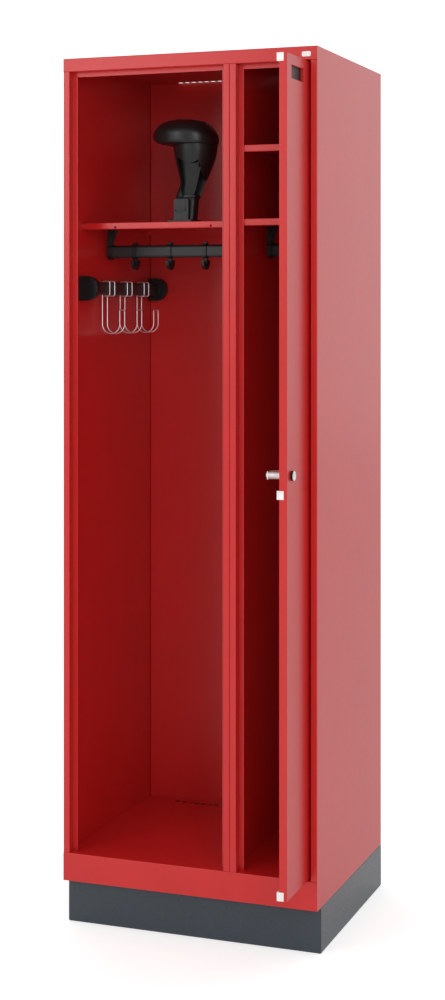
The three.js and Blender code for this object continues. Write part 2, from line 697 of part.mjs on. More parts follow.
function holderBase() {
  const middle = (BASE_LEFT + BASE_RIGHT) / 2;
  const plate = roundedPlate(middle, HOLDER_Y, BASE_RIGHT - BASE_LEFT, BASE_DEPTH, 6);
  const slab = alongZ(plate, shelfTop, footBase);
  const block = box(FOOT_LEFT, FOOT_RIGHT, ...foot, footBase - 1, FOOT_TOP);
  const halfSlot = STEM_DEPTH / 2 + 0.5;
  const slotY = [HOLDER_Y - halfSlot, HOLDER_Y + halfSlot];
  const slot = box(FOOT_LEFT + FOOT_END_WALL, FOOT_RIGHT + 1, ...slotY, footBase, FOOT_TOP + 1);
  const pinHoles = holderPins.map((place) => rod('y', HOLDER_PIN_HOLE, place, foot[0] - 1, foot[1] + 1, 16));
  const screwX = [BASE_LEFT + HOLDER_SCREW.fromEdge, BASE_RIGHT - HOLDER_SCREW.fromEdge];
  const screwReach = BASE_DEPTH / 2 - HOLDER_SCREW.fromEdge;
  const screws = screwX.flatMap((x) => [[x, HOLDER_Y - screwReach], [x, HOLDER_Y + screwReach]]);
  const screwHoles = screws.map((place) => {
    return rod('z', HOLDER_SCREW.hole, place, shelfTop - 1, footBase + 1, 12);
  });
  part('helmet_holder_base', cut(join([slab, block]), [slot, ...pinHoles, ...screwHoles]), blackPlastic);

  holderPins.forEach((place, i) => {
    const pin = rod('y', HOLDER_PIN, place, foot[0] + GAP, foot[1] - GAP, 16);
    part(`helmet_holder_pin_${i + 1}`, pin, blackPlastic);
  });
  screws.forEach((place, i) => {
    const seat = footBase + GAP;
    const shank = rod('z', HOLDER_SCREW.shank, place, shelfTop + 1, seat + 1, 12);
    const head = rod('z', HOLDER_SCREW.head, place, seat, seat + HOLDER_SCREW.headTall, 16);
    part(`helmet_holder_screw_${i + 1}`, join([shank, head]), blackPlastic);
  });
}
holderBase();

// The stem leans over its foot and widens under the head.
function holderStem() {
  const outline = new THREE.Shape();
  const bottom = footBase + GAP;
  const slotEnd = FOOT_LEFT + FOOT_END_WALL + 0.5;
  outline.moveTo(slotEnd, bottom);
  outline.lineTo(BASE_RIGHT - 1, bottom);
  outline.quadraticCurveTo(-64, 1632, -48, 1663);
  outline.lineTo(-23, 1720);
  outline.quadraticCurveTo(-13, 1742, -11, HEAD_UNDERSIDE);
  outline.lineTo(-124, HEAD_UNDERSIDE);
  outline.quadraticCurveTo(-117, 1722, -105, 1680);
  outline.lineTo(FOOT_LEFT - 1, FOOT_TOP + 4);
  outline.lineTo(slotEnd, FOOT_TOP + 0.5);
  outline.closePath();
  const stem = alongY(outline, HOLDER_Y - STEM_DEPTH / 2, HOLDER_Y + STEM_DEPTH / 2, 4);
  const pinHoles = holderPins.map((place) => rod('y', HOLDER_PIN_HOLE, place, ...foot, 16));
  part('helmet_holder_stem', cut(stem, pinHoles), blackPlastic);
}
holderStem();

// The head is a flattened dome, cut level where the stem meets it.
function holderHead() {
  const dome = new THREE.SphereGeometry(1, 22, 14);
  dome.scale(HEAD.long, HEAD.deep, HEAD.tall).translate(HEAD.x, HOLDER_Y, HEAD.z);
  const sides = [HEAD.x - WIDTH, HEAD.x + WIDTH, -DEPTH, DEPTH];
  const below = box(...sides, HEAD_UNDERSIDE - HEAD.tall, HEAD_UNDERSIDE + GAP);
  part('helmet_holder_head', cut(dome, [below]), blackPlastic);
}
holderHead();

// ---------------------------------------------------------------- hinges on the carcass

// plateFace is the plate's face on the door's side, and outward is +1 at the top of the door.
function hinge(name, plateFace, doorEnd, outward) {
  const plateZ = span(plateFace, outward, 0, HINGE_PLATE.thick);
  const plate = box(
    HINGE_X - HINGE_PLATE.towardsDoor,
    HINGE_X + HINGE_PLATE.towardsStile,
    HINGE_Y - HINGE_PLATE.front,
    HINGE_Y + HINGE_PLATE.rear,
    ...plateZ,
  );
  part(`hinge_plate_${name}`, cut(plate, [rod('z', PIN_HOLE, HINGE_AT, plateZ[0] - 1, plateZ[1] + 1)]), zinc);
  const seat = plateFace + outward * (HINGE_PLATE.thick + GAP);
  const head = rod('z', HINGE_HEAD.radius, HINGE_AT, ...span(seat, outward, 0, HINGE_HEAD.thick));
  const tip = doorEnd - outward * PIN_REACH;
  const shank = rod('z', PIN_RADIUS, HINGE_AT, ...[tip, seat + outward].sort((a, b) => a - b));
  part(`hinge_pin_${name}`, join([shank, head]), zinc);
}
hinge('top', RAIL_BOTTOM + WALL, DOOR_TOP, 1);
hinge('bottom', FLOOR_Z - WALL, DOOR_BOTTOM, -1);

// ---------------------------------------------------------------- door

// Everything on the door is drawn closed, about the hinge axis: x runs towards the stile, y inwards.
const freeEdge = -DOOR_REACH;
const outerFace = -HINGE_FROM_FACE;
const innerFace = outerFace + DOOR_THICKNESS;
const barrelHole = LOCK_RADIUS.barrel + GAP;
const lockAt = [freeEdge + LOCK_FROM_EDGE, LOCK_Z];
door.position.set(HINGE_X, HINGE_Y, 0);
door.rotation.z = DOOR_OPEN;

function doorPart(name, geometry, material) {
  return part(name, geometry, material, door);
}

const labelLeft = freeEdge + LABEL_WINDOW.near;
const labelRight = freeEdge + LABEL_WINDOW.far;
const labelBack = outerFace + LABEL_WINDOW.depth;

function outerShell() {
  const edges = bentSheet([
    [freeEdge, innerFace],
    [freeEdge, outerFace],
    [DOOR_PAST_HINGE, outerFace],
    [DOOR_PAST_HINGE, innerFace],
  ], 1);
  const collar = box(
    labelLeft - SHEET,
    labelRight + SHEET,
    outerFace + TUCK,
    labelBack,
    LABEL_WINDOW.bottom - SHEET,
    LABEL_WINDOW.top + SHEET,
  );
  const window = box(labelLeft, labelRight, outerFace - 1, innerFace, LABEL_WINDOW.bottom, LABEL_WINDOW.top);
  const cap = (z0, z1) => box(freeEdge + TUCK, DOOR_PAST_HINGE - TUCK, outerFace + TUCK, innerFace, z0, z1);
  const shell = join([
    alongZ(edges, DOOR_BOTTOM, DOOR_TOP),
    cap(DOOR_BOTTOM, DOOR_BOTTOM + SHEET),
    cap(DOOR_TOP - SHEET, DOOR_TOP),
    collar,
  ]);
  doorPart('door_outer_shell', cut(shell, [
    window,
    rod('z', BUSH_RADIUS + GAP, [0, 0], DOOR_BOTTOM - SHEET, DOOR_BOTTOM + 2 * SHEET),
    rod('z', BUSH_RADIUS + GAP, [0, 0], DOOR_TOP - 2 * SHEET, DOOR_TOP + SHEET),
    rod('y', barrelHole, lockAt, outerFace - SHEET, outerFace + 2 * SHEET),
  ]), redPaint);
}
outerShell();

const innerSheet = box(
  freeEdge + WALL,
  DOOR_PAST_HINGE - WALL,
  innerFace - SHEET,
  innerFace,
  DOOR_BOTTOM + WALL,
  DOOR_TOP - WALL,
);
const innerHole = rod('y', barrelHole, lockAt, innerFace - 2 * SHEET, innerFace + SHEET);
doorPart('door_inner_panel', cut(innerSheet, [innerHole]), redPaint);

const trayRim = 2;
const labelTray = box(
  labelLeft - trayRim,
  labelRight + trayRim,
  labelBack + GAP,
  labelBack + trayRim,
  LABEL_WINDOW.bottom - trayRim,
  LABEL_WINDOW.top + trayRim,
);
doorPart('label_holder', labelTray, blackPlastic);

// A bumper clips over the free edge and stands on the inner face, where it meets the flange.
function bumper(name, z0, z1) {
  const lipFace = freeEdge - GAP - BUMPER.lip;
  const far = freeEdge + BUMPER.across;
  const clip = polygon([
    [lipFace, innerFace - BUMPER.lipLong],
    [freeEdge - GAP, innerFace - BUMPER.lipLong],
    [freeEdge - GAP, innerFace + GAP],
    [far, innerFace + GAP],
    [far, innerFace + BUMPER.base],
    [far - BUMPER.corner, innerFace + BUMPER.proud],
    [lipFace, innerFace + BUMPER.proud],
  ]);
  doorPart(name, alongZ(clip, z0, z1), whitePlastic);
}
bumper('door_bumper_top', DOOR_TOP - 17.5, DOOR_TOP);
bumper('door_bumper_middle', 994, 1012);
bumper('door_bumper_bottom', DOOR_BOTTOM, DOOR_BOTTOM + 18);

// A plastic bush in each end of the door, with a collar in the gap to the frame
function bush(name, doorEnd, outward) {
  const levels = (from, to) => span(doorEnd, outward, from, to);
  const sleeve = rod('z', BUSH_RADIUS, [0, 0], ...levels(-14, 1.5));
  const collar = rod('z', 6.6, [0, 0], ...levels(GAP, 1.8));
  const hole = rod('z', PIN_HOLE, [0, 0], ...levels(-15, 3));
  doorPart(name, cut(join([sleeve, collar]), [hole]), blackPlastic);
}
bush('door_bush_top', DOOR_TOP, 1);
bush('door_bush_bottom', DOOR_BOTTOM, -1);

// ---------------------------------------------------------------- lock

const lockFront = outerFace - LOCK_PROUD;
const barrelEnd = innerFace + LOCK_INSIDE;

const flangeFace = lockFront + CORE_PROUD;
const flangeBack = flangeFace + LOCK_FLANGE_THICK;

doorPart('lock_rosette', cut(rod('y', LOCK_RADIUS.rosette, lockAt, flangeBack + GAP, outerFace - GAP, 32), [
  rod('y', barrelHole, lockAt, flangeBack, outerFace, 32),
]), blackPlastic);
const sleeve = rod('y', LOCK_RADIUS.barrel, lockAt, flangeFace, barrelEnd, 32);
const flange = rod('y', LOCK_RADIUS.flange, lockAt, flangeFace, flangeBack, 32);
doorPart('lock_barrel', cut(join([sleeve, flange]), [
  rod('y', LOCK_RADIUS.bore, lockAt, lockFront - 1, barrelEnd + 1),
]), zinc);
doorPart('lock_nut', cut(rod('y', LOCK_RADIUS.nut, lockAt, innerFace + GAP, innerFace + 5, 6), [
  rod('y', barrelHole, lockAt, innerFace - 1, innerFace + 6, 32),
]), zinc);

const camFace = barrelEnd + GAP;
const camBack = camFace + CAM.thick;
const core = rod('y', LOCK_RADIUS.core, lockAt, lockFront, barrelEnd - GAP);
const shaft = rod('y', LOCK_RADIUS.shaft, lockAt, barrelEnd - 1, camBack + GAP, 4);
const keySlot = box(
  lockAt[0] - KEY_SLOT.wide / 2,
  lockAt[0] + KEY_SLOT.wide / 2,
  lockFront - 1,
  lockFront + KEY_SLOT.deep,
  LOCK_Z - KEY_SLOT.tall / 2,
  LOCK_Z + KEY_SLOT.tall / 2,
);
doorPart('lock_core', cut(join([core, shaft]), [keySlot]), chrome);

// The cam is cranked towards the door so that its tip reaches behind the flange. It points to the hinge
// side while the lock is open.
const camSection = bentSheet([
  [lockAt[0] - 9, camBack],
  [lockAt[0] + 11, camBack],
  [lockAt[0] + 26, camBack - CAM.crank],
  [lockAt[0] + 40, camBack - CAM.crank],
], -1, CAM.thick);
doorPart('lock_cam', cut(alongZ(camSection, LOCK_Z - CAM.wide / 2, LOCK_Z + CAM.wide / 2), [
  rod('y', LOCK_RADIUS.shaftHole, lockAt, camFace - 1, camFace + 2 * CAM.thick, 4),
]), zinc);
doorPart('cam_screw', rod('y', LOCK_RADIUS.screw, lockAt, camBack + 2 * GAP, camBack + 3, 6), zinc);

// ---------------------------------------------------------------- origin

// The origin is on the floor, at the centre of the footprint of the locker with its door open.
const openDoorFront = HINGE_Y - DOOR_REACH - BUMPER.lip - GAP;
locker.position.y = -(openDoorFront + REAR) / 2;

export default locker;
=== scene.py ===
"""Wardrobe locker: an open hanging bay with a helmet holder, beside a compartment with a hinged door.

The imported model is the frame. This script gives its sheets finely rounded edges, builds the fittings
as finished mouldings, wire and turned metal, and makes a procedural material for every surface.
Everything is in metres, with +Z up and +Y towards the rear.
"""

import json
import math

import bmesh
import bpy
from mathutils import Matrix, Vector


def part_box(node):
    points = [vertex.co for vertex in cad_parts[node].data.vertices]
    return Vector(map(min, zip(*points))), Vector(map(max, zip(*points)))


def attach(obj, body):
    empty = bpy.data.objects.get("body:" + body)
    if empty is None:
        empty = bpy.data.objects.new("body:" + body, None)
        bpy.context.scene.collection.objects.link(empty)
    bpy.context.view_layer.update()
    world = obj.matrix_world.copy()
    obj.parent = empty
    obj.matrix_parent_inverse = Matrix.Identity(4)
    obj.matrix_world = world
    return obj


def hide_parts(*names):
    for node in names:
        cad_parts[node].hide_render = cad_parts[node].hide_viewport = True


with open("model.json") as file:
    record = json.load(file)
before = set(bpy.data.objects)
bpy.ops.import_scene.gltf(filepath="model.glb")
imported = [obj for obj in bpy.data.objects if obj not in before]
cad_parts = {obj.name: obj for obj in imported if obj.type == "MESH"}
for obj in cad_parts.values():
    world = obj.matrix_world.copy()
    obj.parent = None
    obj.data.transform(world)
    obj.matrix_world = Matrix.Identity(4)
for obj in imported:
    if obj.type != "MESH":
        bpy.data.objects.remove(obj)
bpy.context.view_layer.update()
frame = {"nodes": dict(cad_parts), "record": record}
MM = 0.001


# ------------------------------------------------------------------ camera, light and floor

CAMERA_PLACE = (1.4398, -3.7084, 1.3975)
CAMERA_YAW = 20.0
FOCAL_LENGTH = 62.55
SHIFT = (-0.0306, -0.1958)


def make_camera():
    data = bpy.data.cameras.new("camera")
    data.sensor_width = 36.0
    data.lens = FOCAL_LENGTH
    data.shift_x, data.shift_y = SHIFT
    camera = bpy.data.objects.new("camera", data)
    camera.location = CAMERA_PLACE
    camera.rotation_euler = (math.radians(90), 0, math.radians(CAMERA_YAW))
    bpy.context.scene.collection.objects.link(camera)
    bpy.context.scene.camera = camera


KEY = {"place": (-2.1, -4.0, 2.25), "target": (0, 0, 1.2), "size": (1.6, 1.6), "power": 24.0}
FILL = {"place": (2.2, -3.7, 2.1), "target": (0, 0, 1.1), "size": (1.8, 1.8), "power": 42.0}
WORLD_BASE = 0.56
FLOOR_LIFT = 0.28
FLOOR_GLOW = 0.22
WORLD_BEHIND = 0.55
WORLD_RIGHT = -0.42
WORLD_ABOVE = 0.20


def make_world():
    """A cyclorama that lights most from behind and above the object, least from its right.
    The camera sees it as plain white."""
    world = bpy.data.worlds.new("studio")
    bpy.context.scene.world = world
    world.use_nodes = True
    tree = world.node_tree
    background = tree.nodes["Background"]
    background.inputs["Color"].default_value = (1.0, 1.0, 1.0, 1.0)
    direction = tree.nodes.new("ShaderNodeTexCoord").outputs["Generated"]
    axes = tree.nodes.new("ShaderNodeSeparateXYZ")
    tree.links.new(direction, axes.inputs["Vector"])
    total = None
    for axis, start, stop, weight in (
        ("Y", 0.4, 0.85, WORLD_BEHIND), ("X", 0.3, 0.95, WORLD_RIGHT), ("Z", -0.05, 0.3, WORLD_ABOVE),
    ):
        ramp = tree.nodes.new("ShaderNodeMapRange")
        ramp.interpolation_type = "SMOOTHSTEP"
        ramp.inputs["From Min"].default_value = start
        ramp.inputs["From Max"].default_value = stop
        ramp.inputs["To Max"].default_value = weight
        tree.links.new(axes.outputs[axis], ramp.inputs["Value"])
        add = tree.nodes.new("ShaderNodeMath")
        add.inputs[1].default_value = WORLD_BASE
        tree.links.new(ramp.outputs["Result"], add.inputs[0])
        if total is not None:
            tree.links.new(total, add.inputs[1])
        total = add.outputs["Value"]
    shown = tree.nodes.new("ShaderNodeMath")
    shown.operation = "MAXIMUM"
    tree.links.new(total, shown.inputs[0])
    tree.links.new(tree.nodes.new("ShaderNodeLightPath").outputs["Is Camera Ray"], shown.inputs[1])
    tree.links.new(shown.outputs["Value"], background.inputs["Strength"])


def softbox(name, place, target, size, power):
    data = bpy.data.lights.new(name, "AREA")
    data.shape = "RECTANGLE"
    data.size, data.size_y = size
    data.energy = power
    light = bpy.data.objects.new(name, data)
    light.location = place
    light.rotation_euler = (Vector(target) - Vector(place)).to_track_quat("-Z", "Y").to_euler()
    bpy.context.scene.collection.objects.link(light)


def make_stage(material):
    mesh = bpy.data.meshes.new("floor")
    reach = 14.0
    corners = [(-reach, -reach, 0), (reach, -reach, 0), (reach, reach, 0), (-reach, reach, 0)]
    mesh.from_pydata(corners, [], [(0, 1, 2, 3)])
    floor = bpy.data.objects.new("floor", mesh)
    floor.data.materials.append(material)
    bpy.context.scene.collection.objects.link(floor)


# ------------------------------------------------------------------ materials


class Shader:
    """A Principled material with helpers for procedural detail in the object's own coordinates."""

    def __init__(self, name, color, roughness, metallic=0.0, ior=1.5):
        self.material = bpy.data.materials.new(name)
        self.material.use_nodes = True
        self.material.diffuse_color = (*color, 1.0)
        self.tree = self.material.node_tree
        self.bsdf = self.tree.nodes["Principled BSDF"]
        self.bsdf.inputs["Base Color"].default_value = (*color, 1.0)
        self.bsdf.inputs["Roughness"].default_value = roughness
        self.bsdf.inputs["Metallic"].default_value = metallic
        self.bsdf.inputs["IOR"].default_value = ior
        self.place = self.add("ShaderNodeTexCoord").outputs["Object"]

    def add(self, kind, **settings):
        node = self.tree.nodes.new(kind)
        for key, value in settings.items():
            setattr(node, key, value)
        return node

    def link(self, output, socket):
        self.tree.links.new(output, socket)

    def noise(self, scale, detail=2.0, stretch=None):
        node = self.add("ShaderNodeTexNoise")
        node.inputs["Scale"].default_value = scale
        node.inputs["Detail"].default_value = detail
        if stretch is None:
            self.link(self.place, node.inputs["Vector"])
        else:
            mapping = self.add("ShaderNodeMapping")
            mapping.inputs["Scale"].default_value = stretch
            self.link(self.place, mapping.inputs["Vector"])
            self.link(mapping.outputs["Vector"], node.inputs["Vector"])
        return node.outputs["Fac"]

    def remap(self, value, low, high, start=0.3, stop=0.7):
        node = self.add("ShaderNodeMapRange")
        node.inputs["From Min"].default_value = start
        node.inputs["From Max"].default_value = stop
        node.inputs["To Min"].default_value = low
        node.inputs["To Max"].default_value = high
        self.link(value, node.inputs["Value"])
        return node.outputs["Result"]

    def vary_color(self, value, dark, light):
        node = self.add("ShaderNodeMix", data_type="RGBA")
        node.inputs[6].default_value = (*dark, 1.0)
        node.inputs[7].default_value = (*light, 1.0)
        self.link(self.remap(value, 0.0, 1.0), node.inputs[0])
        self.link(node.outputs[2], self.bsdf.inputs["Base Color"])

    def vary_roughness(self, value, low, high):
        self.link(self.remap(value, low, high), self.bsdf.inputs["Roughness"])

    def bump(self, heights, distance, strength=1.0):
        """heights is a list of (socket, weight) that add up to one height map."""
        total = None
        for value, weight in heights:
            scaled = self.add("ShaderNodeMath", operation="MULTIPLY")
            scaled.inputs[1].default_value = weight
            self.link(value, scaled.inputs[0])
            if total is None:
                total = scaled.outputs[0]
                continue
            summed = self.add("ShaderNodeMath", operation="ADD")
            self.link(total, summed.inputs[0])
            self.link(scaled.outputs[0], summed.inputs[1])
            total = summed.outputs[0]
        node = self.add("ShaderNodeBump")
        node.inputs["Distance"].default_value = distance
        node.inputs["Strength"].default_value = strength
        self.link(total, node.inputs["Height"])
        self.link(node.outputs["Normal"], self.bsdf.inputs["Normal"])


def powder_coat(name, color, roughness, depth):
    """Satin powder coat: orange peel of that depth, faint clouds in the colour and in the gloss."""
    shader = Shader(name, color, roughness)
    dark = tuple(0.97 * c for c in color)
    light = tuple(min(1.0, 1.03 * c) for c in color)
    shader.vary_color(shader.noise(9.0, 4.0), dark, light)
    shader.vary_roughness(shader.noise(60.0, 3.0), roughness - 0.012, roughness + 0.012)
    peel = shader.noise(420.0, 2.0)
    grain = shader.noise(1500.0, 1.0)
    shader.bump([(peel, 1.0), (grain, 0.35)], distance=depth)
    return shader.material


def moulded_plastic(name, color, roughness, ior, grain_scale, depth):
    """Moulded plastic with a fine spark-eroded grain."""
    shader = Shader(name, color, roughness, ior=ior)
    dark = tuple(0.85 * c for c in color)
    light = tuple(min(1.0, 1.15 * c) for c in color)
    shader.vary_color(shader.noise(30.0, 3.0), dark, light)
    shader.vary_roughness(shader.noise(90.0, 3.0), roughness - 0.05, roughness + 0.05)
    fine, coarse = shader.noise(grain_scale, 2.0), shader.noise(grain_scale / 4, 1.0)
    shader.bump([(fine, 1.0), (coarse, 0.4)], distance=depth)
    return shader.material


def plated_metal(name, color, roughness, stretch, depth):
    """Plated steel with drawing or turning marks along one direction."""
    shader = Shader(name, color, roughness, metallic=1.0)
    dark = tuple(0.88 * c for c in color)
    shader.vary_color(shader.noise(60.0, 3.0), dark, color)
    shader.vary_roughness(shader.noise(200.0, 3.0, stretch), roughness - 0.05, roughness + 0.08)
    shader.bump([(shader.noise(300.0, 2.0, stretch), 1.0)], distance=depth)
    return shader.material


def studio_floor():
    """Seamless pale paper, lifted to the level of the backdrop where the camera sees it."""
    shader = Shader("studio_floor", (0.8, 0.8, 0.8), 0.9)
    shader.vary_color(shader.noise(3.0, 2.0), (0.79, 0.79, 0.79), (0.81, 0.81, 0.81))
    shader.bump([(shader.noise(800.0, 2.0), 1.0)], distance=0.00005)
    shader.bsdf.inputs["Emission Color"].default_value = (1.0, 1.0, 1.0, 1.0)
    lift = shader.add("ShaderNodeMath", operation="MULTIPLY_ADD")
    lift.inputs[1].default_value = FLOOR_LIFT
    lift.inputs[2].default_value = FLOOR_GLOW
    shader.link(shader.add("ShaderNodeLightPath").outputs["Is Camera Ray"], lift.inputs[0])
    shader.link(lift.outputs[0], shader.bsdf.inputs["Emission Strength"])
    return shader.material


RED = powder_coat("red_powder_coat", (0.56, 0.0135, 0.0135), 0.30, 0.00005)
GREY = powder_coat("grey_powder_coat", (0.031, 0.044, 0.056), 0.28, 0.00002)
BLACK_COAT = powder_coat("black_powder_coat", (0.016, 0.017, 0.018), 0.45, 0.00006)
BLACK = moulded_plastic("black_plastic", (0.009, 0.0095, 0.010), 0.34, 1.42, 1400.0, 0.00006)
WHITE = moulded_plastic("white_plastic", (0.80, 0.80, 0.77), 0.45, 1.5, 900.0, 0.00004)
CHROME = plated_metal("bright_chrome", (0.93, 0.93, 0.94), 0.34, (1.0, 1.0, 0.2), 0.00001)
ZINC = plated_metal("zinc_plate", (0.86, 0.87, 0.85), 0.36, (1.0, 1.0, 0.15), 0.00003)
FLOOR = studio_floor()

SLOT_MATERIALS = {
    "red_paint": RED,
    "grey_paint": GREY,
    "black_coating": BLACK_COAT,
    "black_plastic": BLACK,
    "white_plastic": WHITE,
    "chrome": CHROME,
    "zinc": ZINC,
}
NODE_SLOTS = {part["node"]: part["material_slot"] for part in frame["record"]["subparts"]}
NODE_BODIES = {
    node: body for body, nodes in frame["record"]["behaviour"]["bodies"].items() for node in nodes
}

for node_name, node_object in frame["nodes"].items():
    node_object.data.materials.clear()
    node_object.data.materials.append(SLOT_MATERIALS[NODE_SLOTS[node_name]])

make_camera()
make_world()
softbox("key", **KEY)
softbox("fill", **FILL)
make_stage(FLOOR)
bpy.context.scene.view_settings.view_transform = "Standard"

# ------------------------------------------------------------------ mesh tools


def new_object(name, mesh):
    piece = bpy.data.objects.new(name, mesh)
    bpy.context.scene.collection.objects.link(piece)
    return piece


def from_bmesh(name, bm):
    bmesh.ops.remove_doubles(bm, verts=bm.verts, dist=1e-7)
    bmesh.ops.recalc_face_normals(bm, faces=bm.faces)
    mesh = bpy.data.meshes.new(name)
    bm.to_mesh(mesh)
    bm.free()
    return new_object(name, mesh)


def loft(name, rings, closed=False, caps=True):
    """Quads between rings of equally many points. A closed loft joins its last ring to its first."""
    bm = bmesh.new()
    rows = [[bm.verts.new(point) for point in ring] for ring in rings]
    following = rows[1:] + rows[:1] if closed else rows[1:]
    for row, after in zip(rows, following):
        for i in range(len(row)):
            j = (i + 1) % len(row)
            bm.faces.new((row[i], row[j], after[j], after[i]))
    if caps and not closed:
        bm.faces.new(rows[0][::-1])
        bm.faces.new(rows[-1])
    return from_bmesh(name, bm)


AXES = {
    "x": (Vector((0, 1, 0)), Vector((0, 0, 1)), Vector((1, 0, 0))),
    "y": (Vector((1, 0, 0)), Vector((0, 0, 1)), Vector((0, 1, 0))),
    "z": (Vector((1, 0, 0)), Vector((0, 1, 0)), Vector((0, 0, 1))),
}


def prism(name, outline, centre, axis, low, high):
    """An outline of (u, v) points about centre, carried from low to high along the axis."""
    u_way, v_way, along = AXES[axis]
    base = Vector(centre)
    base -= along * base.dot(along)
    flat = [base + u_way * u + v_way * v for u, v in outline]
    return loft(name, [[p + along * low for p in flat], [p + along * high for p in flat]])


def lathe(name, profile, centre, axis, hollow=False, steps=48):
    """Turns (radius, level) points about an axis; a solid's profile starts and ends at radius 0."""
    u_way, v_way, along = AXES[axis]
    base = Vector(centre)
    base -= along * base.dot(along)
    angles = [math.tau * i / steps for i in range(steps)]
    spokes = [u_way * math.cos(angle) + v_way * math.sin(angle) for angle in angles]
    rings = [[base + along * level + spoke * radius for spoke in spokes] for radius, level in profile]
    return loft(name, rings, closed=hollow, caps=False)


def settle(piece):
    """Applies the modifiers by evaluating the object."""
    evaluated = piece.evaluated_get(bpy.context.evaluated_depsgraph_get())
    mesh = bpy.data.meshes.new_from_object(evaluated)
    piece.modifiers.clear()
    old = piece.data
    piece.data = mesh
    bpy.data.meshes.remove(old)
    return piece


def combine(piece, tools, operation):
    for tool in tools:
        modifier = piece.modifiers.new("combine", "BOOLEAN")
        modifier.operation = operation
        modifier.solver = "EXACT"
        modifier.object = tool
    settle(piece)
    for tool in tools:
        bpy.data.objects.remove(tool)
    return piece


def soften(piece, width, segments=3, angle=35.0):
    """Rounds every edge sharper than angle and shades the rest smooth."""
    bevel = piece.modifiers.new("soften", "BEVEL")
    bevel.width = width
    bevel.segments = segments
    bevel.limit_method = "ANGLE"
    bevel.angle_limit = math.radians(angle)
    bevel.miter_outer = "MITER_ARC"
    settle(piece)
    return shade(piece, angle)


def shade(piece, angle=35.0):
    mesh = piece.data
    mesh.polygons.foreach_set("use_smooth", [True] * len(mesh.polygons))
    mesh.set_sharp_from_angle(angle=math.radians(angle))
    weighted = piece.modifiers.new("weighted", "WEIGHTED_NORMAL")
    weighted.keep_sharp = True
    return settle(piece)


def dress(piece, body, slot):
    """The piece rides on that body and takes the material of that slot."""
    piece.data.materials.clear()
    piece.data.materials.append(SLOT_MATERIALS[slot])
    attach(piece, body)
    return piece


def stand_for(piece, *nodes):
    """The piece takes the place, the body and the slot of the CAD nodes that it stands for."""
    dress(piece, NODE_BODIES[nodes[0]], NODE_SLOTS[nodes[0]])
    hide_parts(*nodes)
    return piece


def centre_of(node):
    low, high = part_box(node)
    return (low + high) / 2


# ------------------------------------------------------------------ outlines


def arc(u, v, radius, start, stop, steps):
    """Points on an arc about (u, v), in degrees."""
    points = []
    for i in range(steps + 1):
        angle = math.radians(start + (stop - start) * i / steps)
        points.append((u + radius * math.cos(angle), v + radius * math.sin(angle)))
    return points


def oval(wide, tall, steps=16):
    """Half-round top and bottom with straight flanks."""
    radius = wide / 2
    flank = tall / 2 - radius
    return arc(0, flank, radius, 0, 180, steps) + arc(0, -flank, radius, 180, 360, steps)


def rounded_rectangle(wide, tall, radius, steps=6):
    right = wide / 2 - radius
    high = tall / 2 - radius
    return (
        arc(right, -high, radius, -90, 0, steps)
        + arc(right, high, radius, 0, 90, steps)
        + arc(-right, high, radius, 90, 180, steps)
        + arc(-right, -high, radius, 180, 270, steps)
    )


def curve_through(points, value):
    """Interpolates rows of (key, value...), sorted by key, with a smooth curve through all of them."""
    keys = [row[0] for row in points]
    last = len(points) - 1
    value = min(max(value, keys[0]), keys[-1])
    i = max(0, min(last - 1, sum(1 for key in keys if key <= value) - 1))
    gap = keys[i + 1] - keys[i]
    t = (value - keys[i]) / gap
    result = []
    for column in range(1, len(points[0])):
        before = points[max(i - 1, 0)]
        here, there = points[i], points[i + 1]
        after = points[min(i + 2, last)]
        slope_here = (there[column] - before[column]) / (there[0] - before[0]) * gap
        slope_there = (after[column] - here[column]) / (after[0] - here[0]) * gap
        result.append(
            (2 * t**3 - 3 * t**2 + 1) * here[column]
            + (t**3 - 2 * t**2 + t) * slope_here
            + (3 * t**2 - 2 * t**3) * there[column]
            + (t**3 - t**2) * slope_there
        )
    return result


def smooth_step(value):
    value = min(max(value, 0.0), 1.0)
    return value * value * (3 - 2 * value)


# ------------------------------------------------------------------ sheet metal


def clean_copy(node, name):
    """A copy of a CAD node, with its flat faces made whole."""
    mesh = frame["nodes"][node].data.copy()
    piece = new_object(name, mesh)
    bm = bmesh.new()
    bm.from_mesh(mesh)
    bmesh.ops.remove_doubles(bm, verts=bm.verts, dist=1e-6)
    bmesh.ops.dissolve_limit(bm, angle_limit=math.radians(0.5), verts=bm.verts, edges=bm.edges)
    bm.to_mesh(mesh)
    bm.free()
    return piece


def refine(node, width, segments=2):
    """A finished copy of a sheet-metal node: every cut edge finely rounded."""
    piece = clean_copy(node, node + "_finished")
    soften(piece, width, segments, angle=45.0)
    return stand_for(piece, node)


SHEET = 1 * MM
SHEET_EDGE = 0.22 * MM
PLATE_EDGE = 0.4 * MM
SHEET_NODES = [
    "left_side_panel", "right_side_panel", "top_panel", "floor_panel", "back_panel",
    "partition_left_skin", "partition_right_skin", "hat_shelf", "small_shelf_upper", "small_shelf_lower",
    "door_outer_shell", "door_inner_panel",
]
PLATE_NODES = [
    "plinth_front", "plinth_left", "plinth_right", "plinth_rear",
    "hinge_plate_top", "hinge_plate_bottom", "lock_cam",
]


def make_sheets():
    for node in SHEET_NODES:
        refine(node, SHEET_EDGE)
    for node in PLATE_NODES:
        refine(node, PLATE_EDGE, 3)


def lid_seam(node, outward):
    """The welded seam that closes the gap between a side panel and the lid."""
    low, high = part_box(node)
    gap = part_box("top_panel")[1].z - SHEET - high.z
    edge = low.x if outward < 0 else high.x
    middle = (edge - outward * SHEET / 2, 0, high.z + gap / 2)
    overlap, corner = 0.1 * MM, 0.1 * MM
    outline = rounded_rectangle(0.8 * SHEET, gap + 2 * overlap, corner, 2)
    seam = prism(node + "_seam", outline, middle, "y", low.y + 3 * SHEET, high.y - 2 * SHEET)
    dress(shade(seam), "carcass", "red_paint")


# ------------------------------------------------------------------ rails and their brackets

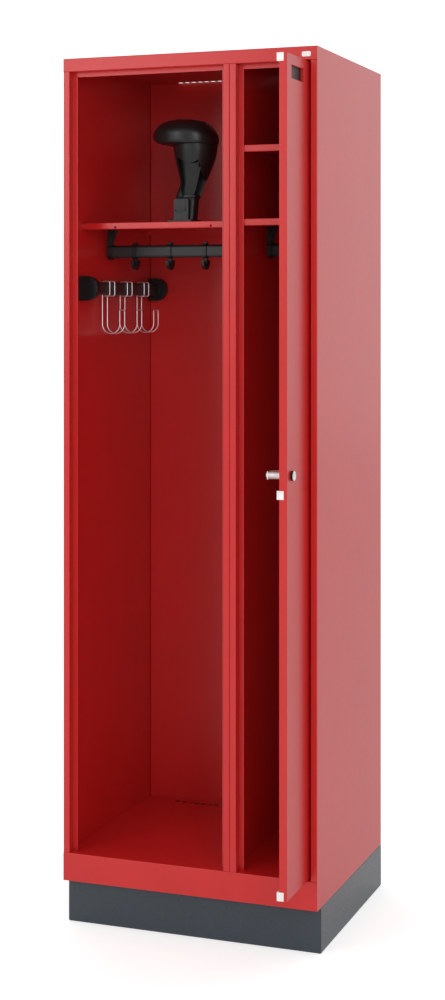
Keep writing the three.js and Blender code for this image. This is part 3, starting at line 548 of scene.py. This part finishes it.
TUBE_WALL = 1.2 * MM
SOCKET_DEPTH = 10 * MM


def oval_tube(node, axis):
    """The oval tube in a CAD tube's place, with a true round top and bottom."""
    low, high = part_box(node)
    centre = (low + high) / 2
    tall = high.z - low.z
    wide = min(high.x - low.x, high.y - low.y)
    outer = oval(wide, tall, 24)
    inner = oval(wide - 2 * TUBE_WALL, tall - 2 * TUBE_WALL, 24)
    along = AXES[axis][2]
    start, stop = low.dot(along), high.dot(along)
    across = Vector((0, 1, 0)) if axis == "x" else Vector((1, 0, 0))
    middle = centre - along * centre.dot(along)

    def ring(outline, level):
        return [middle + across * u + Vector((0, 0, v)) + along * level for u, v in outline]

    rings = [ring(outer, start), ring(outer, stop), ring(inner, stop), ring(inner, start)]
    piece = loft(node + "_tube", rings, closed=True)
    soften(piece, 0.3 * MM, 2)
    return stand_for(piece, node)


def rail_section(node):
    """The middle of a rail in Y and Z, and its width and height."""
    low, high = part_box(node)
    return (low.y + high.y) / 2, (low.z + high.z) / 2, high.y - low.y, high.z - low.z


BRACKET_PLATE = 3 * MM
BRACKET_CORNER = 5 * MM
BRACKET_EDGE = 0.9 * MM
BRACKET_WALL = 3.5 * MM
BRACKET_END = 2 * MM  # closes the cup behind the rail's end
BRACKET_STEM = (8.5 * MM, 10 * MM)  # half its depth, and its reach from the closed end
BRACKET_RIB = (2 * MM, 13 * MM)
BRACKET_FLARE = 18 * MM  # of the stem, up to the plate
FLARE_START = 0.3  # of the stem's height
MOUTH_CLEARANCE = 0.3 * MM
SCREW_AT = 18 * MM  # from the bracket's closed end
SCREW_SPREAD = 16 * MM
BRACKET_SCREW = 3.4 * MM


def rail_bracket(node, opens_towards):
    """Screw plate, waisted stem with a rib, and an oval cup that takes the end of the rail.
    opens_towards is +1 where the rail runs from the bracket towards +X."""
    low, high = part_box(node)
    closed_end = low.x if opens_towards > 0 else high.x
    rail_y, rail_z, tube_wide, tube_tall = rail_section(node.split("_bracket")[0])
    plate_bottom = high.z - BRACKET_PLATE
    plate_middle = (closed_end + opens_towards * (high.x - low.x) / 2, rail_y, 0)
    plate = prism(
        node + "_moulding",
        rounded_rectangle(high.x - low.x, high.y - low.y, BRACKET_CORNER),
        plate_middle, "z", plate_bottom, high.z,
    )

    def stem(half_depth, reach):
        steps = 14
        edge = []
        for i in range(steps + 1):
            t = i / steps
            z = rail_z + (plate_bottom + MM - rail_z) * t
            flare = max(0.0, (t - FLARE_START) / (1 - FLARE_START)) ** 2
            edge.append((reach + BRACKET_FLARE * flare, z))
        outline = [(0.0, rail_z)] + edge + [(0.0, edge[-1][1])]
        flat = [Vector((closed_end + opens_towards * u, rail_y, z)) for u, z in outline]
        shift = Vector((0, half_depth, 0))
        return loft("stem", [[p - shift for p in flat], [p + shift for p in flat]])

    cup_outline = oval(tube_wide + 2 * BRACKET_WALL, tube_tall + 2 * BRACKET_WALL, 20)
    mouth_outline = oval(tube_wide + 2 * MOUTH_CLEARANCE, tube_tall + 2 * MOUTH_CLEARANCE, 20)
    cup_end = closed_end + opens_towards * (SOCKET_DEPTH + BRACKET_END)
    mouth_start = closed_end + opens_towards * BRACKET_END
    mouth_end = cup_end + opens_towards * MM
    axis_point = (0, rail_y, rail_z)
    cup = prism("cup", cup_outline, axis_point, "x", *sorted((closed_end, cup_end)))
    mouth = prism("mouth", mouth_outline, axis_point, "x", *sorted((mouth_start, mouth_end)))
    combine(plate, [stem(*BRACKET_STEM), stem(*BRACKET_RIB), cup], "UNION")
    combine(plate, [mouth], "DIFFERENCE")
    soften(plate, BRACKET_EDGE, 3, 50)
    stand_for(plate, node)
    for side, end in ((-1, "front"), (1, "rear")):
        place = (closed_end + opens_towards * SCREW_AT, rail_y + side * SCREW_SPREAD, 0)
        screw = pan_screw(f"{node}_screw_{end}", place, plate_bottom, -1, BRACKET_SCREW)
        dress(screw, "carcass", "zinc")


def pan_screw(name, place, seat, direction, radius):
    """A domed screw head with a cross recess; direction is the way it faces along Z."""
    tall = 0.62 * radius
    profile = [(0, 0), (radius, 0)]
    for degrees in range(0, 90, 9):
        angle = math.radians(degrees)
        profile.append((radius * math.cos(angle), tall * (0.35 + 0.65 * math.sin(angle))))
    profile.append((0, tall))
    head = lathe(name, [(r, seat + direction * h) for r, h in profile], place, "z", steps=32)
    arm, slit = 0.95 * radius, 0.26 * radius
    top = seat + direction * tall
    levels = sorted((top - direction * 0.55 * tall, top + direction * tall))
    for along, across in ((arm, slit), (slit, arm)):
        bar = prism("recess", rounded_rectangle(along, across, 0.1 * slit, 2), place, "z", *levels)
        combine(head, [bar], "DIFFERENCE")
    return shade(head, 30)


# ------------------------------------------------------------------ sliding hooks


HOOK_WALL = 3 * MM
HOOK_CLEARANCE = 0.4 * MM
HOOK_LUG = (9 * MM, 7 * MM, 1.5 * MM)  # width, height and corner radius
HOOK_ARM = 5.5 * MM
HOOK_ARM_INSET = 1.2 * MM
HOOK_EDGE = 0.9 * MM
# From the middle of the arms: the fluke's right side below its top, its point, and the eye through it
FLUKE_TOP = 3.5 * MM
FLUKE_SIDE = [(5.2 * MM, -2 * MM), (9.5 * MM, -13.5 * MM)]
FLUKE_POINT = (0, -17 * MM)
FLUKE_EYE = [(0, -0.5 * MM), (-4.6 * MM, -10.5 * MM), (4.6 * MM, -10.5 * MM)]


def rail_hook(node):
    """A closed strap round the rail, with a clip lug on top and an anchor-shaped double hook below."""
    low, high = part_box(node)
    rail_y, rail_z, tube_wide, tube_tall = rail_section("left_rail")
    axis_point = (0, rail_y, rail_z)
    around = HOOK_WALL + HOOK_CLEARANCE
    strap_outline = oval(tube_wide + 2 * around, tube_tall + 2 * around, 24)
    strap = prism(node + "_moulding", strap_outline, axis_point, "x", low.x, high.x)
    lug_centre = (0, rail_y, high.z - HOOK_LUG[1] / 2)
    lug = prism("lug", rounded_rectangle(*HOOK_LUG), lug_centre, "x", low.x, high.x)
    outer = (high.y - low.y) / 2
    inner = outer - HOOK_ARM
    tip_radius = (outer - inner) / 2
    middle = (outer + inner) / 2
    hook_z = low.z + outer
    right_tip, left_tip = (arc(side * middle, 0, tip_radius, 0, 180, 10)[1:-1] for side in (1, -1))
    anchor = arc(0, 0, outer, 180, 360, 40) + right_tip + arc(0, 0, inner, 360, 180, 36) + left_tip
    anchor_centre = (0, rail_y, hook_z)
    arms = prism("arms", anchor, anchor_centre, "x", low.x + HOOK_ARM_INSET, high.x - HOOK_ARM_INSET)
    strap_bottom = rail_z - tube_tall / 2 - around
    top = strap_bottom + 2 * MM - hook_z
    right_side = [(FLUKE_TOP, top)] + FLUKE_SIDE
    fluke = [(-u, v) for u, v in right_side] + [FLUKE_POINT] + right_side[::-1]
    stem = prism("stem", fluke, anchor_centre, "x", low.x, high.x)
    combine(strap, [arms, stem, lug], "UNION")
    hole_outline = oval(tube_wide + 2 * HOOK_CLEARANCE, tube_tall + 2 * HOOK_CLEARANCE, 24)
    hole = prism("hole", hole_outline, axis_point, "x", low.x - MM, high.x + MM)
    eye = prism("eye", FLUKE_EYE, anchor_centre, "x", low.x - MM, high.x + MM)
    combine(strap, [hole, eye], "DIFFERENCE")
    soften(strap, HOOK_EDGE, 3, 40)
    return stand_for(strap, node)


WIRE_RADIUS = 1.5 * MM
WIRE_BEND = 5 * MM
WIRE_TIP_LEVEL = 1.384


def filleted(points, radius, steps=8):
    """The path through the points, with an arc-like bend of that size at every corner."""
    path = [points[0]]
    for before, corner, after in zip(points, points[1:], points[2:]):
        arriving, leaving = corner - before, after - corner
        reach = min(radius, arriving.length / 2, leaving.length / 2)
        start = corner - arriving.normalized() * reach
        stop = corner + leaving.normalized() * reach
        for i in range(steps + 1):
            t = i / steps
            path.append(start * (1 - t) ** 2 + corner * 2 * t * (1 - t) + stop * t**2)
    path.append(points[-1])
    return path


def round_wire(name, path, radius, sides=16):
    """A round wire along a path, with domed ends."""
    data = bpy.data.curves.new(name, "CURVE")
    data.dimensions = "3D"
    data.bevel_depth = radius
    data.bevel_resolution = sides // 4
    data.use_fill_caps = True
    spline = data.splines.new("POLY")
    spline.points.add(len(path) - 1)
    for point, place in zip(spline.points, path):
        point.co = (*place, 1.0)
    holder = new_object(name + "_path", data)
    depsgraph = bpy.context.evaluated_depsgraph_get()
    mesh = bpy.data.meshes.new_from_object(holder.evaluated_get(depsgraph))
    bpy.data.objects.remove(holder)
    piece = new_object(name, mesh)
    return shade(piece, 50)


def wire_hook(node):
    """Two chrome wires that wrap the bar and run down into a J, joined by a bow at the tip."""
    low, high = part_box(node)
    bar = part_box("side_bar")
    near, tip_x = low.x + WIRE_RADIUS, high.x - WIRE_RADIUS
    front_y, rear_y = low.y + WIRE_RADIUS, high.y - WIRE_RADIUS
    clear = 0.5 * MM + WIRE_RADIUS
    far = bar[1].x + clear
    over, under = bar[1].z + clear, bar[0].z - clear
    bottom = low.z + WIRE_RADIUS
    radius = (tip_x - near) / 2
    j_centre = bottom + radius
    loop = [(near + 3 * WIRE_RADIUS, under), (far, under), (far, over), (near, over)]
    bend = [(near + radius + u, j_centre + v) for u, v in arc(0, 0, radius, 180, 360, 28)]
    outline = loop + bend + [(tip_x, WIRE_TIP_LEVEL)]
    front = [Vector((x, front_y, z)) for x, z in outline]
    rear = [Vector((x, rear_y, z)) for x, z in reversed(outline)]
    piece = round_wire(node + "_wire", filleted(front + rear, WIRE_BEND), WIRE_RADIUS)
    return stand_for(piece, node)


def side_bracket(node, mouth_faces):
    """A D-shaped block on the wall, with a stepped face and a collar where the bar goes in.
    mouth_faces is +1 where the bar leaves the bracket towards +Y."""
    low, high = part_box(node)
    bar = centre_of("side_bar")
    bar_low, bar_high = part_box("side_bar")
    tube_wide, tube_tall = bar_high.x - bar_low.x, bar_high.z - bar_low.z
    step, rim = 1.5 * MM, 3.5 * MM

    def block(inset, start, stop):
        radius = (high.z - low.z) / 2 - inset
        outline = arc(bar.x, bar.z, radius, -90, 90, 32)
        outline += [(low.x, bar.z + radius), (low.x, bar.z - radius)]
        return prism(node + "_moulding", outline, (0, 0, 0), "y", *sorted((start, stop)))

    back, face = (low.y, high.y) if mouth_faces > 0 else (high.y, low.y)
    piece = block(0, back, face - mouth_faces * step)
    collar_outline = oval(tube_wide + 2 * BRACKET_WALL, tube_tall + 2 * BRACKET_WALL, 20)
    collar = prism("collar", collar_outline, bar, "y", *sorted((face - mouth_faces * 2 * step, face)))
    combine(piece, [block(rim, back, face - mouth_faces * 0.4 * step), collar], "UNION")
    mouth_outline = oval(tube_wide + 2 * MOUTH_CLEARANCE, tube_tall + 2 * MOUTH_CLEARANCE, 20)
    mouth_levels = sorted((face - mouth_faces * SOCKET_DEPTH, face + mouth_faces * MM))
    mouth = prism("mouth", mouth_outline, bar, "y", *mouth_levels)
    combine(piece, [mouth], "DIFFERENCE")
    soften(piece, MM, 3, 50)
    return stand_for(piece, node)


def make_rails():
    oval_tube("left_rail", "x")
    oval_tube("right_rail", "x")
    oval_tube("side_bar", "y")
    for rail in ("left_rail", "right_rail"):
        rail_bracket(rail + "_bracket_left", 1)
        rail_bracket(rail + "_bracket_right", -1)
    side_bracket("side_bar_bracket_front", 1)
    side_bracket("side_bar_bracket_rear", -1)


def make_hooks():
    for number in (1, 2, 3):
        rail_hook(f"rail_hook_{number}")
        wire_hook(f"wire_hook_{number}")


# ------------------------------------------------------------------ helmet holder

# Along the head, from nose (0) to tail (180): top and underside, in mm above its lowest level
HEAD_PROFILE = [
    (0, 28, 28), (27, 43, 14.7), (45, 54.9, 6.2), (63, 61.4, 2.7), (80, 63.9, 1.3), (98, 64.2, 0.6),
    (116, 61.1, 0.2), (134, 52.9, 0.4), (153, 36.2, 2.2), (180, 14.7, 14.7),
]
HEAD_TALL = 64.2
HEAD_SQUARENESS = 6.0  # of the lower half of its cross section
HEAD_WAIST = 0.4  # of its height, where it is deepest
HEAD_TAPER = 0.07  # towards the nose
# Powers below 1 make it fuller than an ellipse: seen from above, across, and over the crown
HEAD_PLAN, HEAD_ACROSS, HEAD_CROWN = 0.92, 0.92, 0.94
DIMPLE_ASIDE = (0.29, -0.12)  # from the head's middle, in halves of its length and depth
DIMPLE_RADIUS = 13 * MM
DIMPLE_DEPTH = 2.2 * MM
DIMPLE_SLOPE = 0.35  # the part of its radius over which it deepens
# Up the stem above its foot: level, left and right outline, half depth and squareness
STEM_PROFILE = [
    (1642.6, -119, -57, 17.0, 4.2), (1648, -117, -54, 19.0, 3.8), (1664, -111, -48.5, 22.5, 3.3),
    (1680, -106, -42, 26.0, 2.9), (1697, -109.5, -33, 32.0, 2.5), (1720, -115.5, -23, 40.0, 2.2),
    (1743, -120.5, -15, 46.0, 2.05), (1770, -124, -11.5, 50.0, 2.0),
]
STEM_FOOT = (-107.0, -60.0, -65.0, 15.0)  # left, right at its top, right at its bottom, half depth
FOOT_INTO_STEM = 8 * MM
FOOT_CORNER = 13 * MM
STEM_INTO_HEAD = 4 * MM
# The hollow on the stem's front: its top edge from left to right, then round by its right edge
STEM_PANEL = [(-101, 1737), (-86, 1730), (-75, 1725), (-65, 1723.5), (-55, 1725.5), (-45.5, 1731),
              (-48.5, 1705), (-51, 1678), (-54, 1662), (-60, 1646), (-92, 1646), (-96, 1662), (-93, 1680)]
STEM_SLIT = [(-44, 1726), (-53, 1696), (-61, 1670), (-70, 1646), (-52, 1646), (-46, 1668), (-43, 1696)]
PANEL_LOW = 8.0  # from the stem's middle to the face of the hollow, at the bottom
PANEL_RISE = 0.17  # and what it gains for each mm of height
SLIT_END = 8 * MM  # behind the stem's middle
BEFORE_STEM = 80 * MM  # where the cuts into its front start
VIEW_SLOPE = 0.41  # the outlines above are those seen from the front right, along this slope


def signed_power(value, power):
    return math.copysign(abs(value) ** power, value)


def helmet_head():
    """An egg-shaped dome, blunter at the tail, with a flattened underside and a dimple on its crown."""
    low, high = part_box("helmet_holder_head")
    centre = (low + high) / 2
    half_long, half_deep = (high.x - low.x) / 2, (high.y - low.y) / 2
    scale = (high.z - low.z) / HEAD_TALL
    stations, sides = 120, 144
    aside_x, aside_y = DIMPLE_ASIDE
    dimple = Vector((centre.x + aside_x * half_long, centre.y + aside_y * half_deep))
    rings = []
    for i in range(stations + 1):
        angle = 180 * i / stations
        top, under = (low.z + scale * value for value in curve_through(HEAD_PROFILE, angle))
        waist = under + HEAD_WAIST * (top - under)
        turn = math.radians(angle)
        x = centre.x - half_long * math.cos(turn)
        depth = half_deep * math.sin(turn) ** HEAD_PLAN * (1 - HEAD_TAPER * math.cos(turn))
        ring = []
        for j in range(sides):
            around = math.tau * j / sides
            across = signed_power(math.cos(around), HEAD_ACROSS)
            y = centre.y + depth * across
            if math.sin(around) >= 0:
                z = waist + (top - waist) * math.sin(around) ** HEAD_CROWN
                reach = (Vector((x, y)) - dimple).length / DIMPLE_RADIUS
                z -= DIMPLE_DEPTH * smooth_step((1.0 - reach) / DIMPLE_SLOPE)
            else:
                drop = (1 - abs(across) ** HEAD_SQUARENESS) ** (1 / HEAD_SQUARENESS)
                z = waist - (waist - under) * drop
            ring.append(Vector((x, y, z)))
        rings.append(ring)
    piece = loft("helmet_holder_head_moulding", rings, caps=False)
    shade(piece, 60)
    return stand_for(piece, "helmet_holder_head")


def stem_body(name, top, centre_y, sunk):
    """The stem above its foot. The front of a sunk one lies further back, most of all at the bottom."""
    levels, sides = 90, 128
    bottom = STEM_PROFILE[0][0]
    rings = []
    for i in range(levels + 1):
        level = bottom + (top / MM - bottom) * i / levels
        left, right, depth, square = curve_through(STEM_PROFILE, level)
        power = square / (square - 1)
        half_wide = (((right - left) / 2) ** power - (VIEW_SLOPE * depth) ** power) ** (1 / power)
        front = PANEL_LOW + PANEL_RISE * (level - bottom) if sunk else depth
        ring = []
        for j in range(sides):
            around = math.tau * j / sides
            x = (left + right) / 2 + half_wide * signed_power(math.cos(around), 2 / square)
            y = (depth if math.sin(around) > 0 else front) * signed_power(math.sin(around), 2 / square)
            ring.append(Vector((x * MM, centre_y + y * MM, level * MM)))
        rings.append(ring)
    return loft(name, rings)


def helmet_stem():
    """A leaning stem that flares into a round skirt under the head, with a hollowed front panel."""
    low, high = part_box("helmet_holder_stem")
    centre_y = (low.y + high.y) / 2
    top = high.z + STEM_INTO_HEAD
    piece = stem_body("helmet_holder_stem_moulding", top, centre_y, False)
    panel, gap = ([(x * MM, z * MM) for x, z in outline] for outline in (STEM_PANEL, STEM_SLIT))
    before = centre_y - BEFORE_STEM
    hollow = prism("panel", panel, (0, 0, 0), "y", before, centre_y)
    combine(hollow, [stem_body("inside", top + MM, centre_y, True)], "DIFFERENCE")
    slit = prism("slit", gap, (0, 0, 0), "y", before, centre_y + SLIT_END)
    combine(piece, [hollow, slit], "DIFFERENCE")
    left, *rights, depth = (value * MM for value in STEM_FOOT)
    foot_rings = []
    for right, level in zip(rights, (STEM_PROFILE[0][0] * MM + FOOT_INTO_STEM, low.z)):
        outline = rounded_rectangle(right - left, 2 * depth, FOOT_CORNER, 10)
        foot_rings.append([Vector(((left + right) / 2 + u, centre_y + v, level)) for u, v in outline])
    combine(piece, [loft("foot", foot_rings)], "UNION")
    soften(piece, 0.8 * MM, 3, 50)
    return stand_for(piece, "helmet_holder_stem")


BASE_PLATE = 8 * MM
BASE_CORNER = 6 * MM
BASE_EDGE = 0.7 * MM
BASE_PIN_HOLE = 2.6 * MM
BASE_SCREW_TALL = 2.2 * MM
BLOCK_LEFT, BLOCK_RIGHT = 5.5 * MM, 6 * MM  # beyond the middles of the pins
BLOCK_OVERHANG = 0.3 * MM  # beyond the ends of the pins
BLOCK_CORNER = 4 * MM
BLOCK_WALL = 4 * MM
STEM_CLEARANCE = 0.5 * MM
GROOVE = (1.6 * MM, 1.2 * MM, 0.7 * MM)  # width, depth and corner radius
GROOVE_LEFT_OF_PIN = 1.5 * MM


def helmet_base():
    """A screwed plate with a slotted block that holds the stem's foot on two cross pins."""
    low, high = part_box("helmet_holder_base")
    stem_low, stem_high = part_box("helmet_holder_stem")
    centre = (low + high) / 2
    plate_top = low.z + BASE_PLATE
    pins = [centre_of(f"helmet_holder_pin_{number}") for number in (1, 2)]
    pin_low, pin_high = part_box("helmet_holder_pin_1")
    front, rear = pin_low.y - BLOCK_OVERHANG, pin_high.y + BLOCK_OVERHANG
    left, right, corner = pins[0].x - BLOCK_LEFT, pins[1].x + BLOCK_RIGHT, BLOCK_CORNER
    plate_outline = rounded_rectangle(high.x - low.x, high.y - low.y, BASE_CORNER, 8)
    plate = prism("helmet_holder_base_moulding", plate_outline, centre, "z", low.z, plate_top)
    block_outline = (
        [(left, plate_top - MM), (right, plate_top - MM)]
        + arc(right - corner, high.z - corner, corner, 0, 90, 8)
        + arc(left + corner, high.z - corner, corner, 90, 180, 8)
    )
    combine(plate, [prism("block", block_outline, (0, 0, 0), "y", front, rear)], "UNION")
    slot_left, slot_right, slot_top = left + BLOCK_WALL, right + MM, high.z + MM
    slot_outline = [
        (slot_left, plate_top), (slot_right, plate_top), (slot_right, slot_top), (slot_left, slot_top),
    ]
    slot_front, slot_rear = stem_low.y - STEM_CLEARANCE, stem_high.y + STEM_CLEARANCE
    slot = prism("slot", slot_outline, (0, 0, 0), "y", slot_front, slot_rear)
    groove_wide, groove_deep, groove_corner = GROOVE
    groove_tall = high.z - pins[1].z
    groove = prism(
        "groove", rounded_rectangle(groove_wide, groove_tall + 2 * MM, groove_corner, 4),
        (pins[1].x - GROOVE_LEFT_OF_PIN, 0, high.z - groove_tall / 2 + MM),
        "y", front - MM, front + groove_deep,
    )
    bore = [(0, front - MM), (BASE_PIN_HOLE, front - MM), (BASE_PIN_HOLE, rear + MM), (0, rear + MM)]
    holes = [lathe("hole", bore, pin, "y", steps=32) for pin in pins]
    combine(plate, [slot, groove] + holes, "DIFFERENCE")
    soften(plate, BASE_EDGE, 3, 50)
    return stand_for(plate, "helmet_holder_base")


def cross_pin(node):
    """A chamfered pin whose ends are sunk a little into the block."""
    low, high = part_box(node)
    centre = (low + high) / 2
    radius, chamfer, sunk = (high.x - low.x) / 2, 0.5 * MM, MM
    front, rear = low.y + sunk, high.y - sunk
    profile = [(0, front), (radius - chamfer, front), (radius, front + chamfer),
               (radius, rear - chamfer), (radius - chamfer, rear), (0, rear)]
    piece = lathe(node + "_turned", profile, centre, "y", steps=40)
    shade(piece, 30)
    return stand_for(piece, node)


def make_helmet_holder():
    helmet_head()
    helmet_stem()
    helmet_base()
    for number in (1, 2):
        cross_pin(f"helmet_holder_pin_{number}")
    for number in (1, 2, 3, 4):
        node = f"helmet_holder_screw_{number}"
        low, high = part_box(node)
        radius = (high.x - low.x) / 2
        screw = pan_screw(node + "_head", centre_of(node), high.z - BASE_SCREW_TALL, 1, radius)
        stand_for(screw, node)


# ------------------------------------------------------------------ hinges

PIN_RADIUS = 4 * MM
RUNNING_GAP = 0.3 * MM


def hinge_pin(name, outward):
    """A turned pin with a domed head; outward is +1 at the top of the door."""
    low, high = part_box("hinge_pin_" + name)
    inner, outer = (low.z, high.z) if outward > 0 else (high.z, low.z)
    head_radius, head_thick, chamfer, edge = (high.x - low.x) / 2, 2.5 * MM, 0.8 * MM, 0.4 * MM
    neck = outer - outward * head_thick
    levels = [
        (0, inner), (PIN_RADIUS - chamfer, inner), (PIN_RADIUS, inner + outward * chamfer),
        (PIN_RADIUS, neck), (head_radius - edge, neck), (head_radius, neck + outward * edge),
    ]
    for degrees in range(0, 90, 9):
        angle = math.radians(degrees)
        level = neck + outward * head_thick * (0.4 + 0.6 * math.sin(angle))
        levels.append((head_radius * math.cos(angle), level))
    levels.append((0, outer))
    piece = lathe(f"hinge_pin_{name}_turned", levels, centre_of("hinge_pin_" + name), "z")
    shade(piece, 30)
    return stand_for(piece, "hinge_pin_" + name)


def door_bush(name, outward):
    """A collared plastic bush in the end of the door."""
    low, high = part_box("door_bush_" + name)
    inner, outer = (low.z, high.z) if outward > 0 else (high.z, low.z)
    collar, sleeve, bore, edge = (high.x - low.x) / 2, 5.3 * MM, PIN_RADIUS + RUNNING_GAP, 0.3 * MM
    collar_start = outer - outward * 1.5 * MM
    profile = [
        (bore + edge, inner), (sleeve - edge, inner), (sleeve, inner + outward * edge),
        (sleeve, collar_start), (collar - edge, collar_start), (collar, collar_start + outward * edge),
        (collar, outer - outward * edge), (collar - edge, outer), (bore + edge, outer),
        (bore, outer - outward * edge), (bore, inner + outward * edge),
    ]
    piece = lathe(f"door_bush_{name}_turned", profile, centre_of("door_bush_" + name), "z", hollow=True)
    shade(piece, 30)
    return stand_for(piece, "door_bush_" + name)


# ------------------------------------------------------------------ door fittings and lock

BARREL_RADIUS = 8.6 * MM
GRIP_GROOVE = (7 * MM, MM, 0.45 * MM)  # length, width and corner radius
GRIP_DEPTH = 0.5 * MM
GRIP_SPREAD = 3.2 * MM
GRIP_REARWARD = MM


def bumper(node):
    """A white clip-on bumper: the CAD outline with soft moulded corners and two grip grooves."""
    low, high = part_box(node)
    piece = clean_copy(node, node + "_moulding")
    grooves = []
    for side in (-1, 1):
        place = (0, (low.y + high.y) / 2 + GRIP_REARWARD, (low.z + high.z) / 2 + side * GRIP_SPREAD)
        outline = rounded_rectangle(*GRIP_GROOVE, 3)
        grooves.append(prism("groove", outline, place, "x", low.x - MM, low.x + GRIP_DEPTH))
    combine(piece, grooves, "DIFFERENCE")
    soften(piece, 0.45 * MM, 3, 40)
    return stand_for(piece, node)


def label_tray():
    """A shallow tray behind the label window, with a rim round the pocket for the card."""
    low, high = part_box("label_holder")
    centre = (low + high) / 2
    wide, tall = high.y - low.y, high.z - low.z
    rim, deep = 2.5 * MM, 0.8 * MM
    tray = prism("label_tray", rounded_rectangle(wide, tall, 1.5 * MM), centre, "x", low.x, high.x)
    pocket_outline = rounded_rectangle(wide - 2 * rim, tall - 2 * rim, MM)
    pocket = prism("pocket", pocket_outline, centre, "x", high.x - deep, high.x + MM)
    combine(tray, [pocket], "DIFFERENCE")
    soften(tray, 0.25 * MM, 2)
    return stand_for(tray, "label_holder")


def blank_badge():
    """A plate with rounded corners and a raised rim."""
    low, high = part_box("badge")
    centre = (low + high) / 2
    wide, tall = high.x - low.x, high.z - low.z
    rim, deep = 1.2 * MM, 0.2 * MM
    plate = prism("badge_plate", rounded_rectangle(wide, tall, 3 * MM, 8), centre, "y", low.y, high.y)
    face = rounded_rectangle(wide - 2 * rim, tall - 2 * rim, 2 * MM, 8)
    combine(plate, [prism("face", face, centre, "y", low.y - MM, low.y + deep)], "DIFFERENCE")
    soften(plate, 0.18 * MM, 2)
    return stand_for(plate, "badge")


def lock_rosette():
    """A short black tube between the barrel's flange and the door."""
    low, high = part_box("lock_rosette")
    outer, bore, edge = (high.y - low.y) / 2, BARREL_RADIUS + RUNNING_GAP, 0.3 * MM
    profile = [
        (bore, low.x), (outer - edge, low.x), (outer, low.x + edge), (outer, high.x - edge),
        (outer - edge, high.x), (bore, high.x),
    ]
    piece = lathe("lock_rosette_turned", profile, centre_of("lock_rosette"), "x", hollow=True, steps=64)
    shade(piece, 30)
    return stand_for(piece, "lock_rosette")


def lock_barrel():
    """The threaded barrel with its flange, smooth where it passes through the door and the rosette."""
    low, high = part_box("lock_barrel")
    flange, bore, edge = (high.y - low.y) / 2, 6.3 * MM, 0.4 * MM
    flange_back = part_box("lock_rosette")[1].x + RUNNING_GAP
    pitch, thread = 1.25 * MM, 0.35 * MM
    door_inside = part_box("door_inner_panel")[0].x
    profile = [(bore, low.x), (BARREL_RADIUS - thread, low.x)]
    level = low.x + pitch / 2
    while level + pitch < door_inside:
        profile += [
            (BARREL_RADIUS - thread, level), (BARREL_RADIUS - thread, level + 0.15 * pitch),
            (BARREL_RADIUS, level + 0.45 * pitch), (BARREL_RADIUS, level + 0.7 * pitch),
        ]
        level += pitch
    profile += [
        (BARREL_RADIUS, level + pitch), (BARREL_RADIUS, flange_back), (flange - edge, flange_back),
        (flange, flange_back + edge), (flange, high.x - 2 * edge), (flange - edge, high.x - edge / 2),
        (flange - 3 * edge, high.x), (bore + edge, high.x), (bore, high.x - edge),
    ]
    piece = lathe("lock_barrel_turned", profile, centre_of("lock_barrel"), "x", hollow=True, steps=64)
    shade(piece, 25)
    return stand_for(piece, "lock_barrel")


def lock_core():
    """The turning core: chamfered face with a ring groove and a key slot, and a square shaft behind."""
    low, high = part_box("lock_core")
    centre = centre_of("lock_core")
    barrel_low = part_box("lock_barrel")[0].x
    radius, shaft, chamfer = 6.0 * MM, 4.0 * MM, 0.5 * MM
    face, rear = high.x, barrel_low + RUNNING_GAP
    groove_radius, groove = 4.7 * MM, 0.35 * MM
    profile = [
        (0, rear), (radius, rear), (radius, face - chamfer), (radius - chamfer, face),
        (groove_radius + groove, face), (groove_radius, face - groove), (groove_radius - groove, face),
        (0, face),
    ]
    core = lathe("lock_core_turned", profile, centre, "x", steps=64)
    square = [(shaft * math.cos(a), shaft * math.sin(a)) for a in (math.tau * i / 4 for i in range(4))]
    combine(core, [prism("shaft", square, centre, "x", low.x, rear + MM)], "UNION")
    slot = rounded_rectangle(1.8 * MM, 7 * MM, 0.3 * MM, 3)
    combine(core, [prism("slot", slot, centre, "x", face - 6 * MM, face + MM)], "DIFFERENCE")
    shade(core, 30)
    return stand_for(core, "lock_core")


def hexagon_head(name, node, bore):
    """A hexagon with chamfered corners, for a nut or, with no bore, for a screw head."""
    low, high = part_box(node)
    centre = (low + high) / 2
    corner = max(high.y - low.y, high.z - low.z) / 2
    turned = 0.0 if high.y - low.y > high.z - low.z else 30.0
    outline = arc(0, 0, corner, turned, turned + 300, 5)
    piece = prism(name, outline, centre, "x", low.x, high.x)
    chamfer = 0.13 * corner
    flat = 0.87 * corner
    drum = [(0, low.x), (flat, low.x), (flat + chamfer, low.x + 0.6 * chamfer),
            (flat + chamfer, high.x - 0.6 * chamfer), (flat, high.x), (0, high.x)]
    combine(piece, [lathe("drum", drum, centre, "x")], "INTERSECT")
    if bore:
        hole = [(0, low.x - MM), (bore, low.x - MM), (bore, high.x + MM), (0, high.x + MM)]
        combine(piece, [lathe("bore", hole, centre, "x")], "DIFFERENCE")
    shade(piece, 25)
    return stand_for(piece, node)


def make_door_fittings():
    for name, outward in (("top", 1), ("bottom", -1)):
        hinge_pin(name, outward)
        door_bush(name, outward)
    for level in ("top", "middle", "bottom"):
        bumper("door_bumper_" + level)
    label_tray()
    lock_rosette()
    lock_barrel()
    lock_core()
    hexagon_head("lock_nut_turned", "lock_nut", BARREL_RADIUS + RUNNING_GAP)
    hexagon_head("cam_screw_head", "cam_screw", 0)


make_sheets()
lid_seam("left_side_panel", -1)
lid_seam("right_side_panel", 1)
make_rails()
make_hooks()
make_helmet_holder()
make_door_fittings()
blank_badge()
